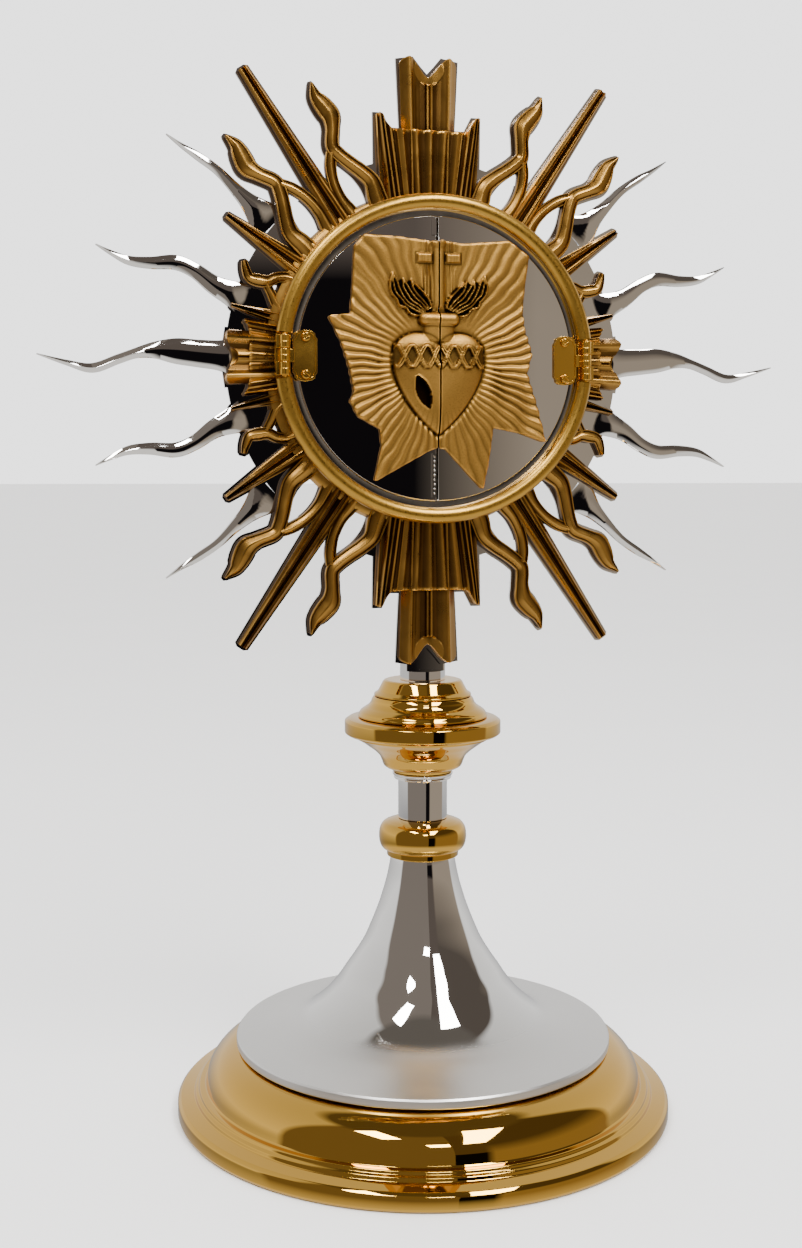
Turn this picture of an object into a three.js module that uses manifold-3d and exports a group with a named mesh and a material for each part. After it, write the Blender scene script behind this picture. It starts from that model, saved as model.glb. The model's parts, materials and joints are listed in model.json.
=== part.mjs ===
// A table monstrance: a gilt and silvered stand that carries a sunburst head with two hinged doors.
// Millimetres. The inner group is modelled with +Y up and +Z towards the viewer, then turned once,
// so that the finished object stands on +Z and its front faces -Y.
import * as THREE from "three";
import { mergeVertices } from "three/addons/utils/BufferGeometryUtils.js";
import Module from "manifold-3d";

const wasm = await Module();
wasm.setup();

// ---- driving dimensions -------------------------------------------------------------------------
const GAP = 0.3; // clearance between neighbouring pieces
const FOOT_RADIUS = 125;
const FOOT_TOP = 33.4;
const PAD_RADIUS = 118.6;
const PAD_THICKNESS = 2.2;
const DISC_RADIUS = 95.4; // silver cover's flat rim
const COVER_TOP = 127;
const COLLAR_TOP = 146.2;
const FERRULE_TOP = 170;
const KNOP_RADIUS = 40.2;
const KNOP_TOP = 217.5;
const ROD_RADIUS = 4;
const ROD_BORE = ROD_RADIUS + 0.5;
const LOWER_TUBE_RADIUS = 12.6;
const UPPER_TUBE_RADIUS = 11.65;
const TUBE_WALL = 1.5;
const TUBE_TOP = 300;
const TUBE_FLAT = 5.9; // depth of the milled flat that the head is screwed to
const TUBE_FLAT_START = 221;

const HEAD_HEIGHT = 381; // centre of the head above the table
const PLATE_BACK = 6.3;
const PLATE_FRONT = 7.8;
const CASTING_BACK = PLATE_FRONT + GAP;
const RAY_FRONT = 13;
const ARM_FRONT = 15;
const SIDE_ARM_FRONT = 17;
const PLATE_RADIUS = 104;
const PLATE_WINDOW = 60;
const PLATE_BORDER = 1.4; // how far the silver plate shows round the gilt rays
const HUB_INNER = 77.4;
const HUB_OUTER = 87;

const DRUM_OUTER = 77;
const DRUM_INNER = 74.8;
const DRUM_FRONT = 25.2;
const LIP_RADIUS = 70.5; // opening that the doors close
const RING_CENTRE = 78.5; // bezel ring: radius of its section's centre, and of the section
const RING_SECTION = 4;
const RING_DEPTH = 27.5;
const DOOR_RADIUS = 71.2;
const DOOR_BACK = DRUM_FRONT + GAP;
const DOOR_FRONT = DOOR_BACK + 1.6;
const DOOR_SPLIT = 0.45; // half the slit between the doors
const RELIEF_BACK = DOOR_FRONT + GAP;
const AUREOLE_FRONT = 30.6;
const EMBLEM_FRONT = 34.6;

const HINGE_X = 78;
const HINGE_DEPTH = 31;
const KNUCKLE_RADIUS = 2.5;
const HINGE_HALF = 9.8;
const PIN_RADIUS = 1.1;
const PIN_BORE = PIN_RADIUS + GAP;
const NOTCH_FLOOR = 26.6; // seat cut across the bezel ring for each hinge

const LUNA_RADIUS = 48;
const LUNA_SIGHT = 42.5; // radius of the clear glass
const GLASS_RADIUS = 45.2;
const LUNA_BACK = 10.2;
const LUNA_FRONT = 18.2;

const SCREW_SHANK = 1.4;
const SCREW_HOLE = SCREW_SHANK + GAP;

const FINE = 32; // facets round the wide spun pieces
const MEDIUM = 20;
const COARSE = 8;

// ---- finishes -----------------------------------------------------------------------------------
const finish = (color, roughness, metalness = 1) => () =>
  new THREE.MeshStandardMaterial({ color, roughness, metalness });
const POLISHED_GOLD = finish(0xc9963f, 0.12);
const ANTIQUE_GOLD = finish(0xa87a36, 0.4);
const SATIN_GOLD = finish(0xc39a55, 0.35);
const GRAINED_GOLD = finish(0xa98a4e, 0.6);
const POLISHED_SILVER = finish(0xc9c5c0, 0.08);
const STEEL = finish(0x8e9094, 0.35);
const FELT = finish(0x23352a, 0.95, 0);
const CLEAR_GLASS = finish(0xdfe8e6, 0.05, 0);

// ---- turning meshes into solids and back --------------------------------------------------------
function bareGeometry(geometry) {
  const bare = new THREE.BufferGeometry();
  bare.setAttribute("position", geometry.getAttribute("position"));
  if (geometry.index) bare.setIndex(geometry.index);
  return mergeVertices(bare, 1e-4);
}

// Faces that collapsed on a lathe's axis are dropped, and an inside-out mesh is turned round.
function solid(geometry) {
  const merged = bareGeometry(geometry);
  const index = merged.index.array;
  const faces = [];
  for (let i = 0; i < index.length; i += 3) {
    const [a, b, c] = [index[i], index[i + 1], index[i + 2]];
    if (a !== b && b !== c && a !== c) faces.push([a, b, c]);
  }
  const build = (list) =>
    new wasm.Manifold(
      new wasm.Mesh({
        numProp: 3,
        vertProperties: merged.attributes.position.array,
        triVerts: Uint32Array.from(list.flat()),
      }),
    );
  const made = build(faces);
  return made.volume() < 0 ? build(faces.map(([a, b, c]) => [a, c, b])) : made;
}

function geometryOf(body) {
  const mesh = body.getMesh();
  const geometry = new THREE.BufferGeometry();
  geometry.setAttribute("position", new THREE.BufferAttribute(mesh.vertProperties, 3));
  geometry.setIndex(new THREE.BufferAttribute(mesh.triVerts, 1));
  geometry.computeVertexNormals();
  return geometry;
}

const joined = (bodies) => bodies.reduce((all, next) => all.add(next));
const cut = (body, tools) => tools.reduce((left, tool) => left.subtract(tool), body);

// ---- basic forms --------------------------------------------------------------------------------
const vectors = (points) => points.map(([x, y]) => new THREE.Vector2(x, y));

// A closed [radius, height] profile turned about the vertical axis.
function turned(points, facets = MEDIUM) {
  return solid(new THREE.LatheGeometry(vectors([...points, points[0]]), facets));
}

// The same about the head's own axis, where the second number is the depth towards the viewer.
function turnedInHead(points, facets = MEDIUM) {
  const geometry = new THREE.LatheGeometry(vectors([...points, points[0]]), facets);
  return solid(geometry.rotateX(Math.PI / 2));
}

function extruded(points, back, front) {
  const shape = new THREE.Shape(vectors(points));
  const geometry = new THREE.ExtrudeGeometry(shape, { depth: front - back, bevelEnabled: false });
  return solid(geometry.translate(0, 0, back));
}

function block(x0, x1, y0, y1, z0, z1) {
  const geometry = new THREE.BoxGeometry(x1 - x0, y1 - y0, z1 - z0);
  return solid(geometry.translate((x0 + x1) / 2, (y0 + y1) / 2, (z0 + z1) / 2));
}

// A rod along the depth axis, centred on x, y.
function rod(x, y, radius, back, front, facets = COARSE) {
  const geometry = new THREE.CylinderGeometry(radius, radius, front - back, facets);
  return solid(geometry.rotateX(Math.PI / 2).translate(x, y, (back + front) / 2));
}

const profile = (path, divisions) => path.getPoints(divisions).map((p) => [p.x, p.y]);

// ---- flat outlines of the rays and flames -------------------------------------------------------
// A stroke follows stations [distance along, offset sideways, half width] on a smooth line.
function strokeOutline(stations, steps = stations.length) {
  const line = new THREE.CatmullRomCurve3(stations.map((s) => new THREE.Vector3(...s)));
  const centre = stations.length > 2 ? line.getPoints(steps) : line.points;
  const sides = centre.map((point, i) => {
    const before = centre[Math.max(i - 1, 0)];
    const after = centre[Math.min(i + 1, centre.length - 1)];
    const run = Math.hypot(after.x - before.x, after.y - before.y);
    const across = [-(after.y - before.y) / run, (after.x - before.x) / run];
    return [1, -1].map((side) => [
      point.x + side * point.z * across[0],
      point.y + side * point.z * across[1],
    ]);
  });
  return [...sides.map((s) => s[0]), ...sides.map((s) => s[1]).reverse()];
}

// Turns an outline drawn along +X to an angle in degrees, with its sides swapped by flip = -1.
function aimed(outline, degrees, flip = 1) {
  const angle = THREE.MathUtils.degToRad(degrees);
  const [c, s] = [Math.cos(angle), Math.sin(angle)];
  return outline.map(([x, y]) => [x * c - flip * y * s, x * s + flip * y * c]);
}

const mirrored = (outline, sx, sy) => outline.map(([x, y]) => [sx * x, sy * y]);
const QUADRANTS = [[1, 1], [-1, 1], [-1, -1], [1, -1]];
const fourWays = (outline) => QUADRANTS.map(([sx, sy]) => mirrored(outline, sx, sy));
const LEFT_RIGHT = [[1, 1], [-1, 1]];
const UP_DOWN = [[1, 1], [1, -1]];

// Pushes every corner of an outline outwards by a distance, with long mitres held short.
function grown(outline, distance) {
  const ring = THREE.ShapeUtils.isClockWise(vectors(outline)) ? [...outline].reverse() : outline;
  return ring.map(([x, y], i) => {
    const [px, py] = ring[(i + ring.length - 1) % ring.length];
    const [nx, ny] = ring[(i + 1) % ring.length];
    const first = new THREE.Vector2(y - py, px - x).normalize();
    const second = new THREE.Vector2(ny - y, x - nx).normalize();
    const mitre = first.add(second).normalize();
    const stretch = 1 / Math.max(Math.abs(mitre.dot(second)), 0.6);
    return [x + mitre.x * distance * stretch, y + mitre.y * distance * stretch];
  });
}

// A whole symmetric outline from its right half, listed from the axis outwards and back to the base.
const doubled = (half) => [...half, ...half.map(([x, y]) => [-x, y]).reverse()];

// The tall upright arm: a notched fishtail shaft on a pleated wedge with a spike at each side.
const TALL_ARM = doubled([
  [0, 144.6], [4.5, 149.8], [8.5, 154], [15.2, 152.2], [14.2, 133], [13.4, 116.8],
  [20.8, 116.8], [24.8, 124.6], [27.4, 124.6], [27, 100], [25, 78],
]);
// The short side arm, drawn upright like the tall one.
const SHORT_ARM = doubled([
  [0, 100.6], [4.5, 103], [8, 104], [13.5, 103], [12.8, 92.5],
  [15, 92.5], [17.5, 94.6], [19, 94.2], [17.5, 78],
]);

const STRAIGHT_RAYS = [
  { degrees: 56.3, stations: [[78, 0, 5.9], [172, 0, 2.4]] },
  { degrees: 34.1, stations: [[78, 0, 6.2], [124.5, 0, 1.6]] },
  { degrees: 14.2, stations: [[78, 0, 3.6], [104, 0, 1.1]] },
];

// Each gilt flame rises from two roots that join in a fork, with an almond opening between them.
const LARGE_FLAME = {
  stem: [
    [80, 7.6, 5.2], [94, 8, 4.4], [106, 1.6, 3.7], [117, -3.4, 3.6],
    [127, -0.6, 3.8], [134, 1.4, 4.9], [141, -0.6, 3.8], [150, -1, 0.6],
  ],
  root: [[80, -7.4, 4.4], [92, -10.2, 3.3], [102, -10, 2.8], [113, -6, 3]],
  opening: [[84, -1, 2.6], [92, -2, 4.6], [101, -3.4, 3.6], [108, -4.8, 0.5]],
};
const SMALL_FLAME = {
  stem: [
    [78, 6.2, 2.9], [86, 5, 2.8], [91, -0.4, 3], [97, -2.2, 3.2], [102.5, -1, 2.6], [106, 3.6, 1.2],
  ],
  root: [[78, -10.6, 3.2], [85, -6.6, 2.5], [92, -1, 2.6]],
  opening: [[79, -2.4, 2.4], [84, -0.9, 2.4], [87.5, -0.4, 0.6]],
};
const FLAMES = [
  { degrees: 66.5, flip: 1, form: LARGE_FLAME },
  { degrees: 46, flip: -1, form: LARGE_FLAME },
  { degrees: 24.6, flip: 1, form: SMALL_FLAME },
];

// The silver plate's own long wavy flames, drawn in the right upper quarter.
const MIDDLE_SILVER_FLAME = [
  [98, 0, 12], [106, 1, 7.6], [116, 1.6, 7], [126, 2.8, 6.4], [137, 3, 4.2], [148, 1.2, 2.7],
  [157, -2, 2.5], [168, -6, 2.3], [180, -4, 1.5], [194.5, 0, 0.5],
];
const UPPER_SILVER_FLAME = [
  [94, 29, 7.5], [109, 35.5, 4.8], [118.5, 42.3, 3.8], [128, 46, 3.8], [140, 45.6, 3],
  [150.5, 46.2, 2.4], [158.5, 49.4, 1.3], [167, 53.6, 0.5],
];
const TOP_SILVER_FLAME = [
  [82, 68, 9], [90, 75.6, 5.4], [98, 83, 3], [107, 92, 2.2], [117, 98.8, 2.1], [132.5, 108.5, 0.5],
];

function rayOutlines() {
  return STRAIGHT_RAYS.flatMap(({ degrees, stations }) =>
    fourWays(aimed(strokeOutline(stations), degrees)),
  );
}

function flameOutlines(part, steps) {
  return FLAMES.flatMap(({ degrees, flip, form }) =>
    fourWays(aimed(strokeOutline(form[part], steps), degrees, flip)),
  );
}

const tallArms = () => UP_DOWN.map(([sx, sy]) => mirrored(TALL_ARM, sx, sy));
const sideArms = () => [-90, 90].map((degrees) => aimed(SHORT_ARM, degrees));

// ---- the stand ----------------------------------------------------------------------------------
function footBase() {
  const outer = new THREE.Path()
    .moveTo(119.2, 0.6)
    .lineTo(123.8, 0.6)
    .lineTo(FOOT_RADIUS, 1.8)
    .lineTo(FOOT_RADIUS, 7.2)
    .lineTo(123.6, 8.8)
    .lineTo(115.8, 10.2)
    .quadraticCurveTo(116.2, 13.8, 112.4, 14.2)
    .lineTo(110.6, 15.2)
    .bezierCurveTo(110.8, 26, 101, FOOT_TOP, 88, FOOT_TOP)
    .lineTo(ROD_BORE, FOOT_TOP)
    .lineTo(ROD_BORE, FOOT_TOP - 2)
    .lineTo(88, FOOT_TOP - 2)
    .bezierCurveTo(99.5, FOOT_TOP - 2, 108.6, 25, 108.6, 14)
    .lineTo(113, 8.4)
    .lineTo(119.2, 6);
  return turned(profile(outer, 4), FINE);
}

function footCover() {
  const outer = new THREE.Path()
    .moveTo(93.6, FOOT_TOP + GAP)
    .lineTo(DISC_RADIUS - 0.3, FOOT_TOP + GAP)
    .lineTo(DISC_RADIUS, 34.2)
    .lineTo(DISC_RADIUS, 37.5)
    .lineTo(DISC_RADIUS - 0.8, 38.1)
    .splineThru(vectors([[78, 40.6], [62, 46.4], [50, 56], [40, 69], [30, 84.5], [22, 104], [16.3, COVER_TOP]]))
    .lineTo(14.9, COVER_TOP)
    .splineThru(vectors([[20.6, 103.6], [28.6, 84], [38.6, 68], [49, 54.6], [61.5, 44.8], [78, 39], [93.6, 36.6]]));
  return turned(profile(outer, 1), FINE);
}

function lowerCollar() {
  const outer = new THREE.Path()
    .moveTo(ROD_BORE, COVER_TOP + GAP)
    .lineTo(18.4, COVER_TOP + GAP)
    .lineTo(18.4, 130)
    .bezierCurveTo(24, 131.5, 24, 143, 17.2, 145.2)
    .lineTo(13.2, COLLAR_TOP)
    .lineTo(ROD_BORE, COLLAR_TOP);
  return turned(profile(outer, 4));
}

function tube(radius, bottom, top) {
  const inner = radius - TUBE_WALL;
  return turned([[inner, bottom], [radius, bottom], [radius, top], [inner, top]]);
}

function stemFerrule() {
  const bottom = 166.6;
  return turned([
    [ROD_BORE, bottom], [14.4, bottom], [15, bottom + 0.6], [15, bottom + 1.2], [14.4, bottom + 1.8],
    [15.6, FERRULE_TOP - 0.6], [15.2, FERRULE_TOP], [ROD_BORE, FERRULE_TOP],
  ]);
}

function knopLowerBell() {
  const bottom = FERRULE_TOP + GAP;
  const top = 189.2;
  return turned([
    [ROD_BORE, bottom], [15.4, bottom], [19.6, 173.2], [21, 176.2], [23.2, 179.6], [27.2, 182.8],
    [30.6, 185.8], [34.6, 188], [34.8, top], [32.6, top], [25.6, 184], [20.6, 179], [17.6, 174], [ROD_BORE, 173],
  ]);
}

function knopFlange() {
  const bottom = 189.5;
  const top = 198.3;
  return turned([
    [ROD_BORE, bottom], [39, bottom], [KNOP_RADIUS, bottom + 1], [KNOP_RADIUS, top - 1.6],
    [38.6, top], [ROD_BORE, top],
  ], FINE);
}

function knopUpperBell() {
  const bottom = 198.6;
  const top = 209;
  return turned([
    [30.6, bottom], [33, bottom], [33, 200], [32, 201.4], [29, 204], [26.4, 206.4], [24.8, top],
    [ROD_BORE, top], [ROD_BORE, top - 1.6], [22.4, top - 1.6], [25.6, 203.4],
  ]);
}

function knopCap() {
  const bottom = 209.3;
  return turned([
    [ROD_BORE, bottom], [24.6, bottom], [25, bottom + 0.9], [23.4, bottom + 2], [22.2, 213],
    [20.4, KNOP_TOP - 1], [19.2, KNOP_TOP], [ROD_BORE, KNOP_TOP],
  ]);
}

// Stock in front of the milled flat, from the flat's start upwards.
const flatCutter = (depth, start) => block(-20, 20, start, TUBE_TOP + 20, depth, 30);
const STEM_SCREW_HEIGHTS = [269, 289];
const stemScrewHoles = (front) => STEM_SCREW_HEIGHTS.map((y) => rod(0, y, SCREW_HOLE, -20, front));

function upperStemTube() {
  const body = tube(UPPER_TUBE_RADIUS, KNOP_TOP + GAP, TUBE_TOP);
  return cut(body, [flatCutter(TUBE_FLAT, TUBE_FLAT_START), ...stemScrewHoles(0)]);
}

function stemTopCap() {
  const bottom = TUBE_TOP + GAP;
  const dome = turned([
    [0, bottom], [UPPER_TUBE_RADIUS, bottom], [UPPER_TUBE_RADIUS, bottom + 1.2], [8, bottom + 3.2], [0, bottom + 4],
  ]);
  return cut(dome, [flatCutter(TUBE_FLAT, TUBE_FLAT_START)]);
}

function stemPlug() {
  const radius = UPPER_TUBE_RADIUS - TUBE_WALL - GAP;
  const bar = turned([[0, 236], [radius, 236], [radius, TUBE_TOP], [0, TUBE_TOP]]);
  const bore = turned([[0, 230], [ROD_RADIUS + GAP, 230], [ROD_RADIUS + GAP, 250], [0, 250]], COARSE);
  return cut(bar, [flatCutter(TUBE_FLAT, TUBE_FLAT_START), bore, ...stemScrewHoles(20)]);
}

const tieRod = () => turned([[0, 20], [ROD_RADIUS, 20], [ROD_RADIUS, 249], [0, 249]], COARSE);

function tieRodWasher() {
  const top = FOOT_TOP - 2 - GAP;
  return turned([[ROD_BORE, top - 1.5], [9, top - 1.5], [9, top], [ROD_BORE, top]]);
}

function tieRodNut() {
  const top = FOOT_TOP - 4.1;
  const hexagon = new THREE.CylinderGeometry(7.5, 7.5, 6.5, 6).translate(0, top - 3.25, 0);
  const bore = new THREE.CylinderGeometry(ROD_RADIUS + GAP, ROD_RADIUS + GAP, 10, COARSE).translate(0, top - 3.25, 0);
  return solid(hexagon).subtract(solid(bore));
}

const basePad = () =>
  turned([[0, 0], [PAD_RADIUS, 0], [PAD_RADIUS, PAD_THICKNESS], [0, PAD_THICKNESS]], FINE);

// ---- the head -----------------------------------------------------------------------------------
const polar = (radius, degrees) => {
  const angle = THREE.MathUtils.degToRad(degrees);
  return [radius * Math.cos(angle), radius * Math.sin(angle)];
};
const CASTING_SCREWS = fourWays([polar(98, 56.3)]).map((outline) => outline[0]);
const COVER_SCREWS = [45, 135, 225, 315].map((degrees) => polar(64, degrees));
const holesAt = (places, back, front) => places.map(([x, y]) => rod(x, y, SCREW_HOLE, back, front));
const stemHolesInHead = (back, front) =>
  STEM_SCREW_HEIGHTS.map((y) => rod(0, y - HEAD_HEIGHT, SCREW_HOLE, back, front));

function silverFlameOutlines() {
  return [
    ...LEFT_RIGHT.map(([sx, sy]) => mirrored(strokeOutline(MIDDLE_SILVER_FLAME), sx, sy)),
    ...fourWays(strokeOutline(UPPER_SILVER_FLAME)),
    ...fourWays(strokeOutline(TOP_SILVER_FLAME)),
  ];
}

function backPlate() {
  const gilt = [...rayOutlines(), ...flameOutlines("stem"), ...tallArms(), ...sideArms()];
  const leaves = [...gilt.map((outline) => grown(outline, PLATE_BORDER)), ...silverFlameOutlines()];
  const disc = turnedInHead([
    [PLATE_WINDOW, PLATE_BACK], [PLATE_RADIUS, PLATE_BACK], [PLATE_RADIUS, PLATE_FRONT], [PLATE_WINDOW, PLATE_FRONT],
  ], FINE);
  const sheet = joined([disc, ...leaves.map((outline) => extruded(outline, PLATE_BACK, PLATE_FRONT))]);
  const openings = flameOutlines("opening", 5).map((outline) => extruded(outline, 0, 20));
  return cut(sheet, [
    ...openings,
    ...holesAt(CASTING_SCREWS, 0, 20),
    ...holesAt(COVER_SCREWS, 0, 20),
    ...stemHolesInHead(0, 20),
  ]);
}

function gildedCasting() {
  const hub = turnedInHead([
    [HUB_INNER, CASTING_BACK], [HUB_OUTER, CASTING_BACK], [HUB_OUTER - 2, RAY_FRONT], [HUB_INNER, RAY_FRONT],
  ], FINE);
  const rays = [...rayOutlines(), ...flameOutlines("stem"), ...flameOutlines("root")];
  const wedge = rays.map((outline) => extruded(outline, CASTING_BACK, RAY_FRONT));
  const tall = tallArms().map((outline) => extruded(outline, CASTING_BACK, ARM_FRONT));
  const short = sideArms().map((outline) => extruded(outline, CASTING_BACK, SIDE_ARM_FRONT));
  const openings = flameOutlines("opening", 5).map((outline) => extruded(outline, 0, 20));
  const drumSpace = turnedInHead([[0, 0], [HUB_INNER, 0], [HUB_INNER, 30], [0, 30]], FINE);
  const blind = CASTING_BACK + 3.2;
  return cut(joined([hub, ...wedge, ...tall, ...short]), [
    drumSpace,
    ...openings,
    ...holesAt(CASTING_SCREWS, 0, blind),
    ...stemHolesInHead(0, blind),
  ]);
}

function drum() {
  const floor = CASTING_BACK + 1.5;
  const shell = turnedInHead([
    [61.5, CASTING_BACK], [DRUM_OUTER, CASTING_BACK], [DRUM_OUTER, 22.6], [81, 22.6], [81, DRUM_FRONT],
    [LIP_RADIUS, DRUM_FRONT], [LIP_RADIUS, 23.6], [DRUM_INNER, 23.6], [DRUM_INNER, floor], [61.5, floor],
  ], FINE);
  return cut(shell, holesAt(COVER_SCREWS, 0, 20));
}

function bezelRing() {
  const base = DRUM_FRONT + GAP;
  const start = Math.asin((RING_DEPTH - base) / RING_SECTION);
  const arc = new THREE.Path().absarc(RING_CENTRE, RING_DEPTH, RING_SECTION, -start, Math.PI + start, false);
  const ring = turnedInHead(profile(arc, 5), FINE);
  const seats = [1, -1].map((side) => {
    const [low, high] = [side * (HINGE_X - 5), side * (HINGE_X + 6)].sort((a, b) => a - b);
    return block(low, high, -HINGE_HALF - 1.3, HINGE_HALF + 1.3, NOTCH_FLOOR, 40);
  });
  return cut(ring, seats);
}

function rearCover() {
  const dish = turnedInHead([
    [0, -1], [40, 0], [57, 2.4], [59.4, 4.6], [67.5, 4.6], [67.5, PLATE_BACK - GAP],
    [58.4, PLATE_BACK - GAP], [56, 4], [40, 1.6], [0, 0.6],
  ]);
  return cut(dish, holesAt(COVER_SCREWS, 0, 20));
}

// A pan-head screw driven from behind: its head lies under `seat`, its shank ends at `tip`.
function rearScrew(seat, tip, headRadius = 2.6) {
  return turnedInHead([
    [0, seat - 2], [headRadius - 0.6, seat - 1.9], [headRadius, seat - 1], [headRadius, seat],
    [SCREW_SHANK, seat], [SCREW_SHANK, tip], [0, tip],
  ], COARSE);
}

// ---- the luna behind the doors ------------------------------------------------------------------
function lunaFrontRing() {
  return turnedInHead([
    [LUNA_SIGHT, 17.2], [GLASS_RADIUS + GAP, 17.2], [GLASS_RADIUS + GAP, 14.4], [LUNA_RADIUS, 14.4],
    [LUNA_RADIUS, LUNA_FRONT - 0.6], [LUNA_RADIUS - 0.6, LUNA_FRONT], [LUNA_SIGHT, LUNA_FRONT],
  ]);
}

function lunaBackRing() {
  return turnedInHead([
    [LUNA_SIGHT, LUNA_BACK], [LUNA_RADIUS, LUNA_BACK], [LUNA_RADIUS, 14.1],
    [GLASS_RADIUS + GAP, 14.1], [GLASS_RADIUS + GAP, 11.4], [LUNA_SIGHT, 11.4],
  ]);
}

const lunaGlass = (back, front) => rod(0, 0, GLASS_RADIUS, back, front, MEDIUM);

function lunaCradle() {
  const [inner, outer, low] = [LUNA_RADIUS + 0.4, LUNA_RADIUS + 5, -73.4];
  const degrees = (d) => THREE.MathUtils.degToRad(d);
  const path = new THREE.Path();
  path.absarc(0, 0, outer, degrees(205), degrees(335), false);
  path.absarc(0, 0, inner, degrees(335), degrees(205), true);
  const crescent = extruded(profile(path, 9), LUNA_BACK, LUNA_FRONT);
  return crescent.add(block(-9, 9, low, 1 - outer, LUNA_BACK, LUNA_FRONT - 4));
}

function lunaKnob() {
  const base = LUNA_RADIUS + GAP;
  const middle = (LUNA_BACK + LUNA_FRONT) / 2;
  const points = [[0, base], [1.6, base], [1.3, base + 2], [2.6, base + 4.2], [1.6, base + 6.2], [0, base + 6.8]];
  return solid(new THREE.LatheGeometry(vectors(points), COARSE).translate(0, 0, middle));
}

// ---- the doors, their reliefs and their hinges --------------------------------------------------
const keptSide = (side) =>
  side > 0 ? block(DOOR_SPLIT, 90, -90, 90, 0, 60) : block(-90, -DOOR_SPLIT, -90, 90, 0, 60);
const LEAF_SCREW = [67.2, 9.2];
const leafScrewHoles = (side) =>
  [1, -1].map((up) => rod(side * LEAF_SCREW[0], up * LEAF_SCREW[1], 1.3, 20, 40));

function doorPanel(side) {
  const disc = rod(0, 0, DOOR_RADIUS, DOOR_BACK, DOOR_FRONT, FINE);
  return cut(disc.intersect(keptSide(side)), leafScrewHoles(side));
}

// Torn-edged aureole of rays behind the emblem, clockwise from the top on each side.
const AUREOLE = {
  right: [
    [0, 59], [13, 57.5], [37.5, 60], [48, 52.5], [46.5, 43], [44.5, 25], [45.5, 15], [49.5, 3], [47, -7],
    [52, -23], [57, -42], [42, -37], [29, -34.5], [27, -49], [23.5, -66], [4, -45.5], [0, -45],
  ],
  left: [
    [0, 58], [-21, 60], [-38, 60.5], [-43, 54.5], [-44, 32], [-45, 21], [-56, 20], [-49.5, 7], [-45.5, -5],
    [-43, -17], [-45, -22], [-41, -29.5], [-30, -35.5], [-29, -44], [-33, -62], [-4, -46], [0, -45],
  ],
};

function heartHalf(side) {
  const outline = new THREE.Path()
    .moveTo(0, 8)
    .bezierCurveTo(6, 15, 18, 14, 22.5, 6)
    .bezierCurveTo(27, -5, 19, -24, 0, -39);
  return mirrored(profile(outline, 9), side, 1);
}

const WING = [[9, 19, 3], [14, 26, 4.2], [20, 34, 4], [24.5, 42.5, 0.8]];
const INNER_WING = [[6, 20, 2.5], [9, 27, 3], [13.5, 36, 0.8]];

function emblemHalf(side) {
  const flat = (outline, front) => extruded(mirrored(outline, side, 1), RELIEF_BACK + 1, front);
  const upright = [[0, 22], [2.2, 22], [2.2, 60], [0, 60]];
  const arm = [[0, 47.5], [11, 47.5], [11, 52], [0, 52]];
  const neck = [[0, 6], [8, 6], [8, 16], [10.5, 17.5], [10.5, 20.5], [0, 22]];
  return joined([
    extruded(heartHalf(side), RELIEF_BACK + 1, EMBLEM_FRONT),
    flat(strokeOutline(WING), 32.4),
    flat(strokeOutline(INNER_WING), 32.4),
    flat(upright, 33),
    flat(arm, 33),
    flat(neck, 33.4),
  ]);
}

function relief(side) {
  const outline = side > 0 ? AUREOLE.right : AUREOLE.left;
  const rays = extruded(outline, RELIEF_BACK, AUREOLE_FRONT);
  return rays.add(emblemHalf(side)).intersect(keptSide(side));
}

// An upright round bar on the hinge axis.
function hingeBar(side, radius, y0, y1, facets = COARSE) {
  const geometry = new THREE.CylinderGeometry(radius, radius, y1 - y0, facets);
  return solid(geometry.translate(side * HINGE_X, (y0 + y1) / 2, HINGE_DEPTH));
}

// A section drawn in x and depth, carried along the height from y0 to y1.
function upright(side, section, y0, y1) {
  const outline = section.map(([x, z]) => [side * x, -z]);
  const shape = new THREE.Shape(vectors(outline));
  const geometry = new THREE.ExtrudeGeometry(shape, { depth: y1 - y0, bevelEnabled: false });
  return solid(geometry.rotateX(-Math.PI / 2).translate(0, y0, 0));
}

function frameLeaf(side) {
  const floor = NOTCH_FLOOR + GAP;
  const foot = [[HINGE_X - 3.4, floor], [HINGE_X + 4.2, floor], [HINGE_X + 4.2, floor + 1], [HINGE_X - 3.4, floor + 1]];
  const web = [[HINGE_X - 1.4, floor + 0.5], [HINGE_X + 2.4, floor + 0.5], [HINGE_X + 2.4, HINGE_DEPTH], [HINGE_X, HINGE_DEPTH]];
  const ends = [[3.4, HINGE_HALF], [-HINGE_HALF, -3.4]];
  const knuckles = ends.flatMap(([y0, y1]) => [
    hingeBar(side, KNUCKLE_RADIUS, y0, y1),
    upright(side, web, y0, y1),
  ]);
  const leaf = joined([upright(side, foot, -HINGE_HALF, HINGE_HALF), ...knuckles]);
  return leaf.subtract(hingeBar(side, PIN_BORE, -20, 20));
}

function doorLeaf(side) {
  const plate = [[61.5, 9.5], [64.5, 12.5], [70.4, 12.5], [73.6, 9.5], [73.6, -9.5], [70.4, -12.5], [64.5, -12.5], [61.5, -9.5]];
  const front = DOOR_FRONT + 1.5;
  const strap = [[HINGE_X - 0.6, 28.6], [73.8, 28.3], [72, 27.6], [70.5, front], [72.5, 29.6], [HINGE_X - 1.5, 33]];
  const body = joined([
    extruded(mirrored(plate, side, 1), DOOR_FRONT + GAP, front),
    upright(side, strap, -3, 3),
    hingeBar(side, KNUCKLE_RADIUS, -3, 3),
  ]);
  return cut(body, [hingeBar(side, PIN_BORE, -20, 20), ...leafScrewHoles(side)]);
}

function hingePin(side) {
  const end = HINGE_HALF + 0.9;
  return joined([
    hingeBar(side, PIN_RADIUS, -end, end),
    hingeBar(side, PIN_RADIUS + 0.7, HINGE_HALF + 0.2, end),
  ]);
}

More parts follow.
